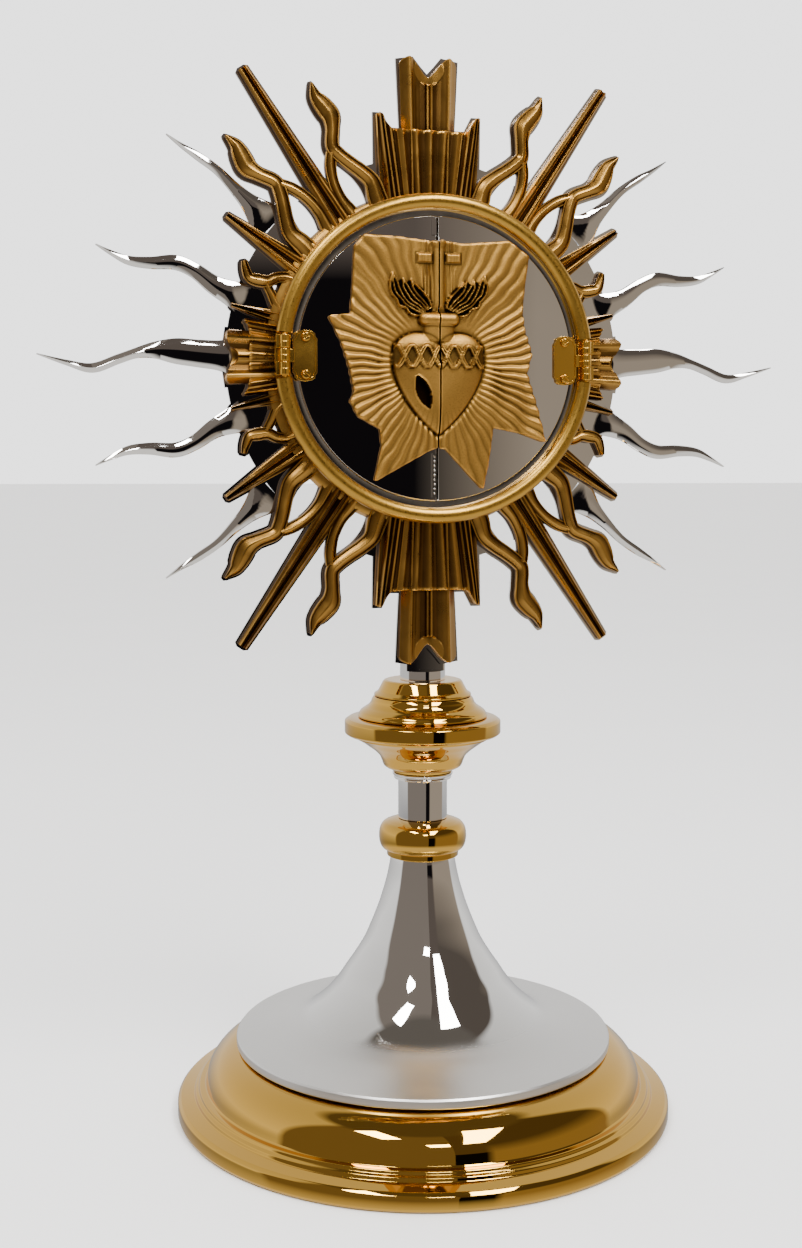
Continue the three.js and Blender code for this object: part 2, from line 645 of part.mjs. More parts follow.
function leafScrew() {
  const seat = DOOR_FRONT + 1.5 + GAP;
  return turnedInHead([
    [0, DOOR_BACK], [1, DOOR_BACK], [1, seat], [2.1, seat], [2.1, seat + 0.6], [1.4, seat + 1.2], [0, seat + 1.3],
  ], COARSE);
}

const closingBead = () => block(-3, -DOOR_SPLIT - 0.3, -69.5, -48, RELIEF_BACK, RELIEF_BACK + 1.2);
const doorMagnet = () => block(-5, 5, -73.6, -68.2, 19.6, 23.3);

// ---- assembly -----------------------------------------------------------------------------------
function piece(parent, name, body, material, [x, y, z] = [0, 0, 0]) {
  const mesh = new THREE.Mesh(geometryOf(body), material());
  mesh.name = name;
  mesh.position.set(x, y, z);
  parent.add(mesh);
}

function addStand(parent) {
  piece(parent, "base_pad", basePad(), FELT);
  piece(parent, "foot_base", footBase(), POLISHED_GOLD);
  piece(parent, "foot_cover", footCover(), POLISHED_SILVER);
  piece(parent, "lower_collar", lowerCollar(), POLISHED_GOLD);
  piece(parent, "lower_stem_tube", tube(LOWER_TUBE_RADIUS, COLLAR_TOP + GAP, 166.3), POLISHED_SILVER);
  piece(parent, "stem_ferrule", stemFerrule(), POLISHED_SILVER);
  piece(parent, "knop_lower_bell", knopLowerBell(), POLISHED_GOLD);
  piece(parent, "knop_flange", knopFlange(), POLISHED_GOLD);
  piece(parent, "knop_upper_bell", knopUpperBell(), POLISHED_GOLD);
  piece(parent, "knop_cap", knopCap(), POLISHED_GOLD);
  piece(parent, "upper_stem_tube", upperStemTube(), POLISHED_SILVER);
  piece(parent, "stem_top_cap", stemTopCap(), POLISHED_SILVER);
  piece(parent, "stem_plug", stemPlug(), STEEL);
  piece(parent, "tie_rod", tieRod(), STEEL);
  piece(parent, "tie_rod_washer", tieRodWasher(), STEEL);
  piece(parent, "tie_rod_nut", tieRodNut(), STEEL);
  STEM_SCREW_HEIGHTS.forEach((y, i) => {
    const screw = rearScrew(-UPPER_TUBE_RADIUS - GAP, CASTING_BACK + 2.6);
    piece(parent, `stem_screw_${i + 1}`, screw, STEEL, [0, y, 0]);
  });
}

function addHeadShell(head) {
  piece(head, "back_plate", backPlate(), POLISHED_SILVER);
  piece(head, "gilded_sunburst", gildedCasting(), ANTIQUE_GOLD);
  piece(head, "drum", drum(), POLISHED_SILVER);
  piece(head, "bezel_ring", bezelRing(), SATIN_GOLD);
  piece(head, "rear_cover", rearCover(), POLISHED_SILVER);
  CASTING_SCREWS.forEach(([x, y], i) => {
    const screw = rearScrew(PLATE_BACK - GAP, CASTING_BACK + 2.6);
    piece(head, `sunburst_screw_${i + 1}`, screw, STEEL, [x, y, 0]);
  });
  COVER_SCREWS.forEach(([x, y], i) => {
    piece(head, `cover_screw_${i + 1}`, rearScrew(4.3, CASTING_BACK + 1.2, 2.2), STEEL, [x, y, 0]);
  });
}

function addLuna(head) {
  piece(head, "luna_front_ring", lunaFrontRing(), POLISHED_GOLD);
  piece(head, "luna_back_ring", lunaBackRing(), POLISHED_GOLD);
  piece(head, "luna_front_glass", lunaGlass(15.6, 16.9), CLEAR_GLASS);
  piece(head, "luna_back_glass", lunaGlass(11.7, 13), CLEAR_GLASS);
  piece(head, "luna_cradle", lunaCradle(), POLISHED_GOLD);
  piece(head, "luna_knob", lunaKnob(), POLISHED_GOLD);
  piece(head, "door_magnet", doorMagnet(), STEEL);
}

function addDoor(head, label, side) {
  piece(head, `${label}_door_panel`, doorPanel(side), POLISHED_SILVER);
  piece(head, `${label}_relief`, relief(side), GRAINED_GOLD);
  piece(head, `${label}_hinge_door_leaf`, doorLeaf(side), POLISHED_GOLD);
  piece(head, `${label}_hinge_frame_leaf`, frameLeaf(side), POLISHED_GOLD);
  piece(head, `${label}_hinge_pin`, hingePin(side), POLISHED_GOLD);
  [1, -1].forEach((up) => {
    const name = `${label}_hinge_screw_${up > 0 ? "upper" : "lower"}`;
    piece(head, name, leafScrew(), POLISHED_GOLD, [side * LEAF_SCREW[0], up * LEAF_SCREW[1], 0]);
  });
}

const upStanding = new THREE.Group();
upStanding.rotation.x = Math.PI / 2;
const head = new THREE.Group();
head.position.y = HEAD_HEIGHT;
upStanding.add(head);
addStand(upStanding);
addHeadShell(head);
addLuna(head);
addDoor(head, "left", -1);
addDoor(head, "right", 1);
piece(head, "closing_bead", closingBead(), POLISHED_GOLD);

const monstrance = new THREE.Group();
monstrance.add(upStanding);
export default monstrance;
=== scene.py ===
"""A table monstrance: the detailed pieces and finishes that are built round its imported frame."""
import json
import math

import bpy
import numpy as np
from mathutils.geometry import delaunay_2d_cdt
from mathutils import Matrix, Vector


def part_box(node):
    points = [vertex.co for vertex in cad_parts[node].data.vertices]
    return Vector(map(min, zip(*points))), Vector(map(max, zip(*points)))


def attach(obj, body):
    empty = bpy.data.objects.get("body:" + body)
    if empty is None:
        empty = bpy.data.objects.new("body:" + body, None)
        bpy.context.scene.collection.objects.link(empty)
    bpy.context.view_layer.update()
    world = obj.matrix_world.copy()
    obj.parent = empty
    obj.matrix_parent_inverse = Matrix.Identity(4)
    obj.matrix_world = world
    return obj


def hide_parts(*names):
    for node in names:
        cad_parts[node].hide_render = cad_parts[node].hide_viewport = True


bl_info = {
    "name": "Monstrance",
    "version": (1, 0, 0),
    "blender": (4, 5, 0),
    "location": "View3D > Sidebar > Monstrance",
    "description": "Builds a gilt and silvered table monstrance with hinged relief doors",
    "category": "Add Mesh",
}

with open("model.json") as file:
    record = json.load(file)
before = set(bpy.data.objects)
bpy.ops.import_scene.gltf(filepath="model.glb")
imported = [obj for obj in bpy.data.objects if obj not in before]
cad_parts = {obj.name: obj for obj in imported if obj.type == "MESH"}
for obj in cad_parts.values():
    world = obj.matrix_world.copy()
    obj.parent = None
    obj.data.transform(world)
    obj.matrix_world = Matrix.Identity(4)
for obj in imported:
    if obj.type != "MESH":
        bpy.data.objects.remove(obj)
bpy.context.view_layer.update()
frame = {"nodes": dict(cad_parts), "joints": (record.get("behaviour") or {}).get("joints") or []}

MM = 0.001
STAND, LEFT_DOOR, RIGHT_DOOR = "stand", "left_door", "right_door"
DOORS = ((-1, "left", LEFT_DOOR), (1, "right", RIGHT_DOOR))  # side, label and body
HINGE_X = abs(frame["joints"][0]["pos_m"][0]) / MM
HINGE_DEPTH = -frame["joints"][0]["pos_m"][1] / MM
HEAD = frame["joints"][0]["pos_m"][2] / MM  # height of the head's centre


def depths(node):
    """A node's back and front in the head, in millimetres forward of the stem's axis."""
    low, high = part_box(node)
    return -high.y / MM, -low.y / MM


def heights(node):
    low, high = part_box(node)
    return low.z / MM, high.z / MM


def radius_of(node):
    low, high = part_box(node)
    return (high.x - low.x) / 2 / MM


PLATE_BACK, PLATE_FRONT = depths("back_plate")
CASTING_BACK = depths("gilded_sunburst")[0]
DRUM_BACK, DRUM_FRONT = depths("drum")
RING_BACK, RING_FRONT = depths("bezel_ring")
DOOR_BACK, DOOR_FRONT = depths("left_door_panel")
RELIEF_BACK, RELIEF_FRONT = depths("left_relief")
DOOR_RADIUS = heights("left_door_panel")[1] - HEAD


# ---- sizes and colours that a user would change -------------------------------------------------
class MonstranceSizes(bpy.types.PropertyGroup):
    facets: bpy.props.IntProperty(
        name="Facets", description="Facets round each spun piece", default=160, min=24, max=512)
    edge_round: bpy.props.FloatProperty(
        name="Edge rounding", description="Radius of the small polished edges",
        default=0.0004, unit="LENGTH")
    plate_border: bpy.props.FloatProperty(
        name="Plate border", description="How far the silver plate shows round the gilt rays",
        default=0.0014, unit="LENGTH")
    relief_grid: bpy.props.FloatProperty(
        name="Relief grid", description="Spacing of the points that carry the doors' relief",
        default=0.00048, unit="LENGTH")
    relief_rays: bpy.props.IntProperty(
        name="Relief rays", description="Wavy ribs in a full turn of the aureole", default=64)
    rib_height: bpy.props.FloatProperty(
        name="Rib height", description="How far the aureole's ribs stand up",
        default=0.0014, unit="LENGTH")


class MonstranceFinishes(bpy.types.PropertyGroup):
    gold: bpy.props.FloatVectorProperty(
        name="Polished gold", description="Gilding on the foot and the knop",
        default=(0.72, 0.415, 0.075), subtype="COLOR", min=0, max=1)
    antique_gold: bpy.props.FloatVectorProperty(
        name="Antique gold", description="Satin gilding on the cast rays",
        default=(0.60, 0.325, 0.072), subtype="COLOR", min=0, max=1)
    # the colour of the patina and of the painted shade in the recesses
    patina_and_painted_shade: bpy.props.FloatVectorProperty(
        name="Patina", description="Dark colour that stays in the recesses",
        default=(0.085, 0.036, 0.010), subtype="COLOR", min=0, max=1)
    silver: bpy.props.FloatVectorProperty(
        name="Silver", description="Polished silver plating",
        default=(0.88, 0.86, 0.83), subtype="COLOR", min=0, max=1)


def sizes():
    return bpy.context.scene.monstrance_sizes


def finishes():
    return bpy.context.scene.monstrance_finishes


# ---- finishes -----------------------------------------------------------------------------------
SATIN_ROUGHNESS = 0.34  # what a full patina adds to a polished face


def new_material(name, metallic=1.0):
    """A fresh node material: its node tree, its Principled shader and the place on the object."""
    material = bpy.data.materials.new("finish_" + name)
    material.use_nodes = True
    tree = material.node_tree
    shader = tree.nodes["Principled BSDF"]
    shader.inputs["Metallic"].default_value = metallic
    return material, tree, shader, tree.nodes.new("ShaderNodeTexCoord").outputs["Object"]


def noise(tree, place, scale, detail=4.0, roughness=0.5):
    node = tree.nodes.new("ShaderNodeTexNoise")
    node.inputs["Scale"].default_value = scale
    node.inputs["Detail"].default_value = detail
    node.inputs["Roughness"].default_value = roughness
    tree.links.new(place, node.inputs["Vector"])
    return node.outputs["Fac"]


def spread(tree, value, low, high, start=0.3, end=0.7):
    """Maps a value's middle range onto low to high."""
    node = tree.nodes.new("ShaderNodeMapRange")
    node.inputs["From Min"].default_value = start
    node.inputs["From Max"].default_value = end
    node.inputs["To Min"].default_value = low
    node.inputs["To Max"].default_value = high
    tree.links.new(value, node.inputs["Value"])
    return node.outputs["Result"]


def blended(tree, factor, first, second):
    node = tree.nodes.new("ShaderNodeMix")
    node.data_type = "RGBA"
    tree.links.new(factor, node.inputs[0])
    for socket, value in ((node.inputs[6], first), (node.inputs[7], second)):
        if isinstance(value, (tuple, list)):
            socket.default_value = (*value, 1.0)
        else:
            tree.links.new(value, socket)
    return node.outputs[2]


def bumped(tree, shader, height, strength, distance, below=None):
    node = tree.nodes.new("ShaderNodeBump")
    node.inputs["Strength"].default_value = strength
    node.inputs["Distance"].default_value = distance
    tree.links.new(height, node.inputs["Height"])
    if below:
        tree.links.new(below, node.inputs["Normal"])
    tree.links.new(node.outputs["Normal"], shader.inputs["Normal"])
    return node.outputs["Normal"]


def patina_and_painted_shade_of(tree):
    """The patina and painted shade that each point of the mesh carries; on polished faces it adds
    roughness.
    """
    node = tree.nodes.new("ShaderNodeAttribute")
    node.attribute_name = "patina_and_painted_shade"
    return node.outputs["Fac"]


def painted_crest_highlight(tree, start, end):
    """Painted highlight: 0 on the flats and 1 on the sharp edges, which are painted brighter."""
    return spread(tree, tree.nodes.new("ShaderNodeNewGeometry").outputs["Pointiness"], 0, 1, start, end)


def shade(color, factor):
    return tuple(channel * factor for channel in color)


def polished(name, color, smooth=0.012, dull=0.035, stretch=(1, 1, 1), marks=0.012):
    """Mirror plating: slow changes of tone, faint wiping marks and a breath of haze."""
    material, tree, shader, place = new_material(name)
    mapping = tree.nodes.new("ShaderNodeMapping")
    mapping.inputs["Scale"].default_value = stretch
    tree.links.new(place, mapping.inputs["Vector"])
    tone = noise(tree, place, 22, 3)
    haze = noise(tree, place, 60, 6, 0.65)
    wipes = noise(tree, mapping.outputs["Vector"], 420, 8, 0.7)
    tree.links.new(blended(tree, tone, shade(color, 0.93), color), shader.inputs["Base Color"])
    widest = tree.nodes.new("ShaderNodeMath")
    widest.operation = "MULTIPLY_ADD"
    widest.inputs[1].default_value = SATIN_ROUGHNESS
    tree.links.new(patina_and_painted_shade_of(tree), widest.inputs[0])
    tree.links.new(spread(tree, haze, smooth, dull), widest.inputs[2])
    tree.links.new(widest.outputs[0], shader.inputs["Roughness"])
    bumped(tree, shader, wipes, marks, 0.00005)
    return material


def brushed(name, color, turns=900.0, smooth=0.24, dull=0.4):
    """Satin gold with a fine grain and a cloudy tone."""
    material, tree, shader, place = new_material(name)
    grain = noise(tree, place, turns, 5, 0.7)
    cloud = noise(tree, place, 45, 5, 0.6)
    tree.links.new(blended(tree, cloud, shade(color, 0.78), color), shader.inputs["Base Color"])
    tree.links.new(spread(tree, grain, smooth, dull), shader.inputs["Roughness"])
    bumped(tree, shader, grain, 0.22, 0.00008)
    return material


def painted_recess_shade(tree, reach, start, end):
    """Painted shade: 0 in the open and 1 in the occluded hollows."""
    node = tree.nodes.new("ShaderNodeAmbientOcclusion")
    node.inputs["Distance"].default_value = reach
    node.samples = 8
    return spread(tree, node.outputs["AO"], 1.0, 0.0, start, end)


def antique(name, color, patina_and_painted_shade):
    """Cast gilding: painted shade in the hollows, a satin face and a painted highlight on the crests."""
    material, tree, shader, place = new_material(name)
    grain = noise(tree, place, 1400, 4, 0.6)
    cloud = noise(tree, place, 70, 5, 0.6)
    # painted shade: occluded hollows turn the dark patina colour
    painted_hollow_shade = painted_recess_shade(tree, 0.006, 0.3, 0.9)
    # painted highlight: sharp crests are made 1.45 times brighter
    crest = painted_crest_highlight(tree, 0.52, 0.60)
    face = blended(tree, cloud, shade(color, 0.72), color)
    with_painted_highlight = blended(tree, crest, face, shade(color, 1.45))
    with_painted_shade = blended(tree, painted_hollow_shade, with_painted_highlight, patina_and_painted_shade)
    # each point's patina and painted shade darkens the colour further
    tree.links.new(blended(tree, patina_and_painted_shade_of(tree), with_painted_shade, patina_and_painted_shade), shader.inputs["Base Color"])
    tree.links.new(spread(tree, cloud, 0.22, 0.38), shader.inputs["Roughness"])
    bumped(tree, shader, grain, 0.08, 0.00006)
    return material


def grained(name, color, patina_and_painted_shade):
    """Sand-blasted gilding with painted shade in the hollows and a painted highlight on the crests, for
    the relief.
    """
    material, tree, shader, place = new_material(name)
    sand = noise(tree, place, 1500, 4, 0.75)
    cloud = noise(tree, place, 90, 6, 0.65)
    # painted shade: occluded hollows turn almost black
    painted_hollow_shade = painted_recess_shade(tree, 0.003, 0.45, 0.95)
    # painted highlight: sharp crests are made 1.35 times brighter
    crest = painted_crest_highlight(tree, 0.51, 0.58)
    face = blended(tree, cloud, shade(color, 0.62), color)
    pits = spread(tree, noise(tree, place, 1500, 6, 0.8), 0.0, 0.55, 0.50, 0.66)
    pitted = blended(tree, pits, face, shade(color, 0.3))
    with_painted_highlight = blended(tree, crest, pitted, shade(color, 1.35))
    with_painted_shade = blended(tree, painted_hollow_shade, with_painted_highlight, shade(color, 0.16))
    # each point's patina and painted shade darkens the colour further
    tree.links.new(blended(tree, patina_and_painted_shade_of(tree), with_painted_shade, patina_and_painted_shade), shader.inputs["Base Color"])
    tree.links.new(spread(tree, sand, 0.34, 0.56), shader.inputs["Roughness"])
    bumped(tree, shader, sand, 0.5, 0.0002)
    return material


def felt(name):
    material, tree, shader, place = new_material(name, 0.0)
    fibre = noise(tree, place, 1800, 8, 0.8)
    tree.links.new(blended(tree, fibre, (0.010, 0.028, 0.016), (0.035, 0.075, 0.045)),
                   shader.inputs["Base Color"])
    tree.links.new(spread(tree, fibre, 0.85, 1.0), shader.inputs["Roughness"])
    bumped(tree, shader, fibre, 0.6, 0.0003)
    shader.inputs["Sheen Weight"].default_value = 0.4
    return material


def crystal(name):
    """Clear glass with the faintest ripple."""
    material, tree, shader, place = new_material(name, 0.0)
    ripple = noise(tree, place, 30, 2)
    tree.links.new(blended(tree, ripple, (0.93, 0.97, 0.95), (0.97, 0.99, 0.98)),
                   shader.inputs["Base Color"])
    tree.links.new(spread(tree, ripple, 0.0, 0.03), shader.inputs["Roughness"])
    bumped(tree, shader, ripple, 0.02, 0.0002)
    shader.inputs["Transmission Weight"].default_value = 1.0
    shader.inputs["IOR"].default_value = 1.5
    return material


def paving(name):
    """The stage's plain pale floor."""
    material, tree, shader, place = new_material(name, 0.0)
    cloud = noise(tree, place, 3, 4)
    tree.links.new(blended(tree, cloud, (0.86, 0.855, 0.85), (0.89, 0.885, 0.88)),
                   shader.inputs["Base Color"])
    shader.inputs["Roughness"].default_value = 0.75
    return material


MAKERS = {
    "polished_gold": lambda: polished("polished_gold", tuple(finishes().gold), 0.012, 0.04),
    "hinge_gold": lambda: polished("hinge_gold", shade(finishes().gold, 1.15), 0.17, 0.28, marks=0.05),
    "luna_gold": lambda: polished("luna_gold", tuple(finishes().gold), 0.05, 0.12),
    "satin_gold": lambda: brushed("satin_gold", shade(finishes().gold, 0.88)),
    "antique_gold": lambda: antique(
        "antique_gold", tuple(finishes().antique_gold), tuple(finishes().patina_and_painted_shade)),
    "grained_gold": lambda: grained(
        "grained_gold", shade(finishes().antique_gold, 1.12), shade(finishes().patina_and_painted_shade, 0.14)),
    "polished_silver": lambda: polished("polished_silver", tuple(finishes().silver), 0.012, 0.035,
                                        (1, 1, 0.2)),
    "plate_silver": lambda: polished("plate_silver", shade(finishes().silver, 0.97), 0.02, 0.05),
    "door_silver": lambda: polished("door_silver", shade(finishes().silver, 0.96), 0.008, 0.02,
                                    marks=0.004),
    "drum_silver": lambda: polished("drum_silver", shade(finishes().silver, 0.93), 0.06, 0.14),
    "steel": lambda: brushed("steel", (0.46, 0.46, 0.47), 1100, 0.22, 0.36),
    "felt_pad": lambda: felt("felt_pad"),
    "clear_glass": lambda: crystal("clear_glass"),
    "floor": lambda: paving("floor"),
}


MADE = {}


def finish_of(name):
    """The material of a slot, made once."""
    if name not in MADE:
        MADE[name] = MAKERS[name]()
    return MADE[name]


# ---- meshes -------------------------------------------------------------------------------------
def signed_volume(points, faces):
    total = 0.0
    for face in faces:
        a = points[face[0]]
        for i in range(1, len(face) - 1):
            total += float(np.dot(a, np.cross(points[face[i]], points[face[i + 1]])))
    return total


def facing_out(points, faces):
    """The shell with its faces turned outwards."""
    points = np.asarray(points, float)
    if signed_volume(points - points.mean(0), faces) < 0:
        faces = [tuple(reversed(face)) for face in faces]
    return points, faces


def in_head(shell):
    """From the head's own right, up and forward to the frame's axes."""
    points = np.asarray(shell[0], float)
    return (np.column_stack([points[:, 0], -points[:, 2], HEAD + points[:, 1]]), *shell[1:])


def shifted(shell, x=0.0, y=0.0, z=0.0):
    return (np.asarray(shell[0], float) + (x, y, z), *shell[1:])


def placed(name, data):
    """A new object in the scene."""
    obj = bpy.data.objects.new(name, data)
    bpy.context.scene.collection.objects.link(obj)
    return obj


def piece(name, shells, slot, nodes, body=STAND, sharp=32, bevel=0.0):
    """One object from closed shells in millimetres, riding on a body in place of its CAD nodes.

    A shell is its points, its faces and, where it has one, the patina and painted shade of each point,
    which darkens the castings and dulls polished faces."""
    points, faces, patina_and_painted_shade = [], [], []
    for shell in shells:
        shell_points, shell_faces = facing_out(*shell[:2])
        base = len(points)
        points.extend((shell_points * MM).tolist())
        faces.extend([tuple(base + i for i in face) for face in shell_faces])
        patina_and_painted_shade.extend(shell[2] if len(shell) > 2 else [0.0] * len(shell_points))
    mesh = bpy.data.meshes.new(name)
    mesh.from_pydata(points, [], faces)
    mesh.validate()
    mesh.materials.append(finish_of(slot))
    mesh.polygons.foreach_set("use_smooth", [True] * len(mesh.polygons))
    mesh.set_sharp_from_angle(angle=math.radians(sharp))
    if any(patina_and_painted_shade):
        layer = mesh.attributes.new("patina_and_painted_shade", "FLOAT", "POINT")
        layer.data.foreach_set("value", np.asarray(patina_and_painted_shade, np.float32))
    obj = placed(name, mesh)
    if bevel:
        modifier = obj.modifiers.new("edges", "BEVEL")
        modifier.width = bevel * MM
        modifier.segments = 2
        modifier.limit_method = "ANGLE"
        modifier.angle_limit = math.radians(40)
        modifier.use_clamp_overlap = True
    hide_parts(*nodes)
    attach(obj, body)
    return obj


def head_piece(name, shells, slot, nodes, body=STAND, **edges):
    """A piece whose shells are drawn in the head's own right, up and forward."""
    return piece(name, [in_head(shell) for shell in shells], slot, nodes, body, **edges)


def curve(points, steps=8):
    """A smooth line through points of any dimension, ends included."""
    p = np.asarray(points, float)
    padded = np.vstack([2 * p[0] - p[1], p, 2 * p[-1] - p[-2]])
    out = []
    for i in range(1, len(padded) - 2):
        a, b, c, d = padded[i - 1:i + 3]
        for t in np.arange(steps) / steps:
            out.append(0.5 * (2 * b + (c - a) * t + (2 * a - 5 * b + 4 * c - d) * t**2
                              + (3 * b - a - 3 * c + d) * t**3))
    return np.vstack([out, p[-1]])


def softened(points, radius=None, steps=4):
    """A closed outline with its sharp corners rounded. A point's third value is its own radius."""
    radius = sizes().edge_round / MM if radius is None else radius
    out = []
    for i, point in enumerate(points):
        corner = np.array(point[:2], float)
        before = np.array(points[i - 1][:2], float) - corner
        after = np.array(points[(i + 1) % len(points)][:2], float) - corner
        own = point[2] if len(point) > 2 else radius
        lengths = np.linalg.norm(before), np.linalg.norm(after)
        turn = math.pi - math.acos(np.clip(before @ after / (lengths[0] * lengths[1] + 1e-12), -1, 1))
        if own <= 0 or corner[0] < 1e-6 or turn < math.radians(18):
            out.append(corner)
            continue
        reach = [min(own * math.tan(turn / 2), 0.45 * length) for length in lengths]
        first = corner + before / lengths[0] * reach[0]
        last = corner + after / lengths[1] * reach[1]
        for t in np.arange(steps + 1) / steps:
            out.append((1 - t)**2 * first + 2 * t * (1 - t) * corner + t**2 * last)
    return np.array(out)


def rounded(points, steps=6):
    """Part of a profile that is a smooth line, with no corner to soften."""
    return [(r, h, 0) for r, h in curve(points, steps)]


def spun(profile, radius=None, facets=None):
    """A closed [radius, height] profile turned about the upright axis."""
    line = softened(profile, radius)
    facets = facets or sizes().facets
    angles = np.arange(facets) * 2 * math.pi / facets
    points, rows = [], []
    for r, h in line:
        if r < 1e-6:
            rows.append([len(points)] * facets)
            points.append((0, 0, h))
        else:
            rows.append(list(range(len(points), len(points) + facets)))
            points.extend(zip(r * np.cos(angles), r * np.sin(angles), [h] * facets))
    faces = []
    for i, row in enumerate(rows):
        following = rows[(i + 1) % len(rows)]
        for j in range(facets):
            k = (j + 1) % facets
            face = list(dict.fromkeys([row[j], row[k], following[k], following[j]]))
            if len(face) > 2:
                faces.append(tuple(face))
    return points, faces


def rectangle(left, right, low, high):
    return [(left, low), (right, low), (right, high), (left, high)]


def prism(outline, back, front):
    """A flat outline carried along the third axis."""
    n = len(outline)
    points = [(x, y, back) for x, y in outline] + [(x, y, front) for x, y in outline]
    sides = [(i, (i + 1) % n, n + (i + 1) % n, n + i) for i in range(n)]
    return points, [tuple(range(n))[::-1], tuple(range(n, 2 * n)), *sides]


def slab(front, back):
    """A closed shell between a grid of front points, with their patina and painted shade, and the flat
    plane behind it.
    """
    rows, columns = front.shape[:2]
    # the rear copies the front's values, so the side walls carry the rim's painted shade
    rear = front.copy()
    rear[:, :, 2] = back
    n = rows * columns
    points = np.vstack([front.reshape(-1, 4), rear.reshape(-1, 4)])
    faces = []

    def at(r, c):
        return r * columns + c

    for r in range(rows - 1):
        for c in range(columns - 1):
            quad = (at(r, c), at(r, c + 1), at(r + 1, c + 1), at(r + 1, c))
            faces.append(quad)
            faces.append(tuple(n + i for i in reversed(quad)))
    rim = [at(0, c) for c in range(columns)] + [at(r, columns - 1) for r in range(1, rows)]
    rim += [at(rows - 1, c) for c in range(columns - 2, -1, -1)]
    rim += [at(r, 0) for r in range(rows - 2, 0, -1)]
    for i, j in zip(rim, rim[1:] + rim[:1]):
        faces.append((j, i, n + i, n + j))
    return points[:, :3], faces, points[:, 3]


def arc(radius, start, end, steps, centre=(0.0, 0.0)):
    angles = np.radians(np.linspace(start, end, steps))
    return np.column_stack([centre[0] + radius * np.cos(angles), centre[1] + radius * np.sin(angles)])


def circle(radius, sides):
    return arc(radius, 0, 360, sides + 1)[:-1]


def turned_by(points, degrees, flip=1):
    angle = math.radians(degrees)
    points = np.array(points, float)
    x, y = points[..., 0].copy(), flip * points[..., 1]
    points[..., 0] = x * math.cos(angle) - y * math.sin(angle)
    points[..., 1] = x * math.sin(angle) + y * math.cos(angle)
    return points


def mirrored(points, sx, sy):
    points = np.array(points, float)
    points[..., 0] *= sx
    points[..., 1] *= sy
    return points


def distance_to(points, line, closed=False):
    """Each point's distance to a line of points."""
    line = np.asarray(line, float)
    if closed:
        line = np.vstack([line, line[:1]])
    best = np.full(len(points), 1e9)
    for a, b in zip(line[:-1], line[1:]):
        d = b - a
        t = np.clip((points - a) @ d / max(d @ d, 1e-12), 0, 1)
        best = np.minimum(best, np.linalg.norm(points - a - t[:, None] * d, axis=1))
    return best


def inside(points, polygon):
    x, y = points[:, 0], points[:, 1]
    result = np.zeros(len(points), bool)
    p = np.asarray(polygon, float)
    for (x1, y1), (x2, y2) in zip(p, np.roll(p, -1, axis=0)):
        crosses = (y1 > y) != (y2 > y)
        with np.errstate(divide="ignore", invalid="ignore"):
            at = (x2 - x1) * (y - y1) / (y2 - y1) + x1
        result ^= crosses & (x < at)
    return result


QUADRANTS = ((1, 1), (-1, 1), (-1, -1), (1, -1))


def stroke_sides(stations, steps=6):
    """Centres, sideways directions and half widths along a stroke of [along, aside, half] stations."""
    line = curve(stations, steps) if len(stations) > 2 else np.linspace(stations[0], stations[1], 24)
    direction = np.gradient(line[:, :2], axis=0)
    direction /= np.linalg.norm(direction, axis=1)[:, None]
    across = np.column_stack([-direction[:, 1], direction[:, 0]])
    return line[:, :2], across, np.maximum(line[:, 2], 0.25)


def stroke_outline(stations, grow=0.0, steps=6):
    centres, across, halves = stroke_sides(stations, steps)
    halves = halves + grow
    tip = centres[-1] + (centres[-1] - centres[-2]) / np.linalg.norm(centres[-1] - centres[-2]) * grow
    upper = centres + across * halves[:, None]
    lower = centres - across * halves[:, None]
    cap = [tip + across[-1] * halves[-1] * 0.5, tip - across[-1] * halves[-1] * 0.5] if grow else []
    return np.array([*upper, *cap, *lower[::-1]])


def ridged_stroke(stations, section, back, front, tip_front, steps=6):
    """A ray or flame with a modelled front.

    The section runs across it: its place from -1 to 1, its share of the height and its patina and
    painted shade."""
    centres, across, halves = stroke_sides(stations, steps)
    along = np.linspace(0, 1, len(centres))
    tops = front + (tip_front - front) * along
    grid = np.zeros((len(centres), len(section), 4))
    for column, (aside, height, dark) in enumerate(section):
        grid[:, column, :2] = centres + across * (halves * aside)[:, None]
        grid[:, column, 2] = back + (tops - back) * height
        grid[:, column, 3] = dark
    return grid


# ---- the stand ----------------------------------------------------------------------------------
BORE = 4.5  # the radius of the hole for the tie rod


def foot_profile():
    bulge = arc(1, 6, 84, 22)
    inner_r, top = 88.0, heights("foot_base")[1]
    edge_r, edge_z = 110.6, 15.2
    outer = [(inner_r + (edge_r - inner_r) * x, edge_z + (top - edge_z) * y, 0) for x, y in bulge]
    lining = [(r - 1.8, z - 1.8, 0) for r, z, _ in reversed(outer)]
    return [
        (119.2, 0.6), (124.4, 0.6, 1), (125, 1.8, 1), (125, 7.4, 1.6), (123.4, 8.9, 1.2),
        (116.6, 10.2, 0.8), (116.2, 12.0, 0.8), (114.6, 12.6, 0.8), (114.2, 14.1, 0.8),
        (111.4, 14.3, 0.5), (110.9, 15.0, 0.3), *outer, (BORE, top), (BORE, top - 2), *lining,
        (108.6, 13, 0.3), (113, 8.4, 0.3), (119.2, 6, 0.3),
    ]


